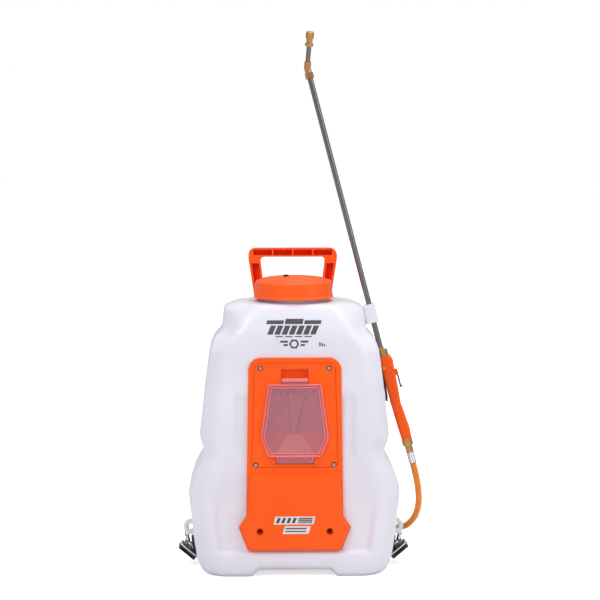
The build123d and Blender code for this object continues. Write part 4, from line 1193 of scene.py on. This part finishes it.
def back_pad():
    """Padded panel with sewn channels and a bound edge."""
    half_z, mid_z = (PAD_HIGH - PAD_LOW) / 2, (PAD_HIGH + PAD_LOW) / 2

    def place(u, v):
        x, z = u * PAD_HALF, v * half_z
        dx, dz = abs(x) - (PAD_HALF - PAD_CORNER), abs(z) - (half_z - PAD_CORNER)
        if dx > 0 and dz > 0:
            pull = max(dx, dz) / math.hypot(dx, dz)
            x = math.copysign(PAD_HALF - PAD_CORNER + dx * pull, x)
            z = math.copysign(half_z - PAD_CORNER + dz * pull, z)
        return x, z

    def height(u, v):
        rim = min((1 - abs(u)) * PAD_HALF, (1 - abs(v)) * half_z)
        puff = math.sqrt(max(0.0, 1 - (1 - min(1.0, rim / 13)) ** 2))
        seam = max(math.exp(-(((v - c) * half_z / 2.4) ** 2)) for c in (-0.6, -0.2, 0.2, 0.6))
        channel = math.exp(-((u * PAD_HALF / 5) ** 2))
        return 1.4 + 7.2 * puff * (1 - 0.62 * seam) * (1 - 0.45 * channel)

    def on_pad(layer, s, t):
        u, v = 2 * s - 1, 2 * t - 1
        x, z = place(u, v)
        return x, 84.3 + (0 if layer else height(u, v)), mid_z + z

    verts, faces = [], []
    rim = slab(verts, faces, 56, 132, on_pad)
    pad = outward(mesh_object("back_cushion", verts, faces, mesh_fabric))
    sharp_by_angle(pad, 60)
    finish(pad, "back_pad")
    edge = [Vector(verts[k]) + Vector((0, -0.4, 0)) for k in rim]
    binding = tube("pad_edge", edge, 1.9, webbing, closed=True)
    rows_of_thread = []
    for c in (-0.6, -0.2, 0.2, 0.6):
        line = [(u * PAD_HALF, 84.6 + height(u, c), mid_z + c * half_z) for u in (k / 20 - 1 for k in range(1, 40))]
        rows_of_thread.append(stitches("row", line, (0, 1, 0)))
    trim(join("pad_binding", binding, *rows_of_thread), "tank")


def webbing_straps():
    for side, word in ((-1, "left"), (1, "right")):
        corner = [(143 + 37 * math.cos(a), 51 + 37 * math.sin(a)) for a in
                  (math.radians(5 * k) for k in range(19))]
        flat = [(180, 32 + k * 2.7) for k in range(7)] + corner + [(143 - 4 * k, 88) for k in range(1, 12)]
        band = strap("band", [(side * x, y, 38.5) for x, y in flat], (0, 0, 1), 25, 1.8, webbing)
        upright = strap("upright", [(side * 100.5, 89.4 + 0.25 * math.sin(k / 4), 27 + 4.0 * k) for k in range(33)],
                        (1, 0, 0), 25, 1.6, webbing)
        box = [(side * (100.5 + sx), 90.3, 38.5 + sz) for sx, sz in
               ((-9, -9), (9, -9), (9, 9), (-9, 9), (-9, -9), (9, 9), (9, -9), (-9, 9))]
        patch = stitches("patch", box, (0, 1, 0))
        finish(join(f"foot_webbing_{word}", band, upright, patch), f"strap_webbing_{word}")


def strap_ends():
    """Bevelled slide, its wire frame, the snap clip and the folded tape at each hook."""
    for side, word in ((-1, "left"), (1, "right")):
        bevelled(f"buckle_{word}", 1.3, 3, material=black_plastic)
        slope = math.radians(40)
        along = Vector((side * math.cos(slope), 0, math.sin(slope)))
        out = Vector((-side * math.sin(slope), 0, math.cos(slope)))
        centre = Vector((side * 194, 5, 25)) + out * 4.6
        frame_wire = rounded([(18, 16), (18, -16), (-18, -16), (-18, 16)], 4, 4)
        wire = tube("wire", [centre + along * a + Vector((0, b, 0)) for a, b in frame_wire], 1.7, zinc, closed=True)
        eye = tube("eye", [(side * 194.5 + 7.4 * math.cos(a), 13, 33 + 7.4 * math.sin(a)) for a in
                           (math.radians(15 * k) for k in range(24))], 2.1, zinc, closed=True)
        clip = lathe("clip", [(0, 0), (3.2, 0), (4.6, 0.8), (5, 2.6), (5, 5), (3.9, 6.4), (3.4, 8), (3.4, 12),
                              (3, 13.4), (0, 14)], (side * 194.5, 13, 39.5), (0, 0, 1), steps=32, material=zinc)
        gate = tube("gate", [(side * x, 13, z) for x, z in ((197.6, 50), (199.2, 56), (198.6, 62), (196.4, 66))],
                    1.5, zinc)
        link = tube("link", [centre + along * a + Vector((0, b, 0)) + out * c for a, b, c in
                             ((-18, -12, 0), (-12, -5, 6), (-8, 3, 12), (-12, 9, 6), (-18, 16, 0))], 1.6, zinc)
        tape = strap("tape", [(side * x, 5.5, z) for x, z in
                              ((179.6, 14), (180.8, 22), (182.2, 30), (183.6, 38), (184.8, 46), (185.4, 52))],
                     (0, 1, 0), 22, 4, webbing)
        trim(join(f"strap_end_{word}", wire, eye, clip, gate, link, tape), f"hook_{word}")


def hose_band():
    """Hook-and-loop band round the two turns of hose."""
    loop = []
    for centre_z, first in ((19.9, 0), (7.9, 180)):
        turns = [math.radians(first + 15 * k) for k in range(13)]
        loop += [(7.2 * math.cos(turn), centre_z + 7.2 * math.sin(turn)) for turn in turns]
    band = strap("hose_band", [(60, 261.2 + y, z) for y, z in loop], (1, 0, 0), 12, 1.2, webbing, closed=True)
    tail = strap("band_tail", [(60, 269.2 - 0.02 * k * k, 20 - 1.6 * k) for k in range(8)], (1, 0, 0), 12, 1.0,
                 webbing)
    return finish(join("hose_band", band, tail), "hose_tie")


def anchor_screws():
    heads = [screw(f"anchor_screw_{k}", (x, 89.0, z), 3.6, (0, 1, 0), material=zinc)
             for k, (x, z) in enumerate(((-92, 446), (-36, 446), (36, 446), (92, 446)))]
    trim(join("anchor_screws", *heads), "tank")


shoulder_straps()
back_pad()
webbing_straps()
strap_ends()
anchor_screws()

hose(hose_band())
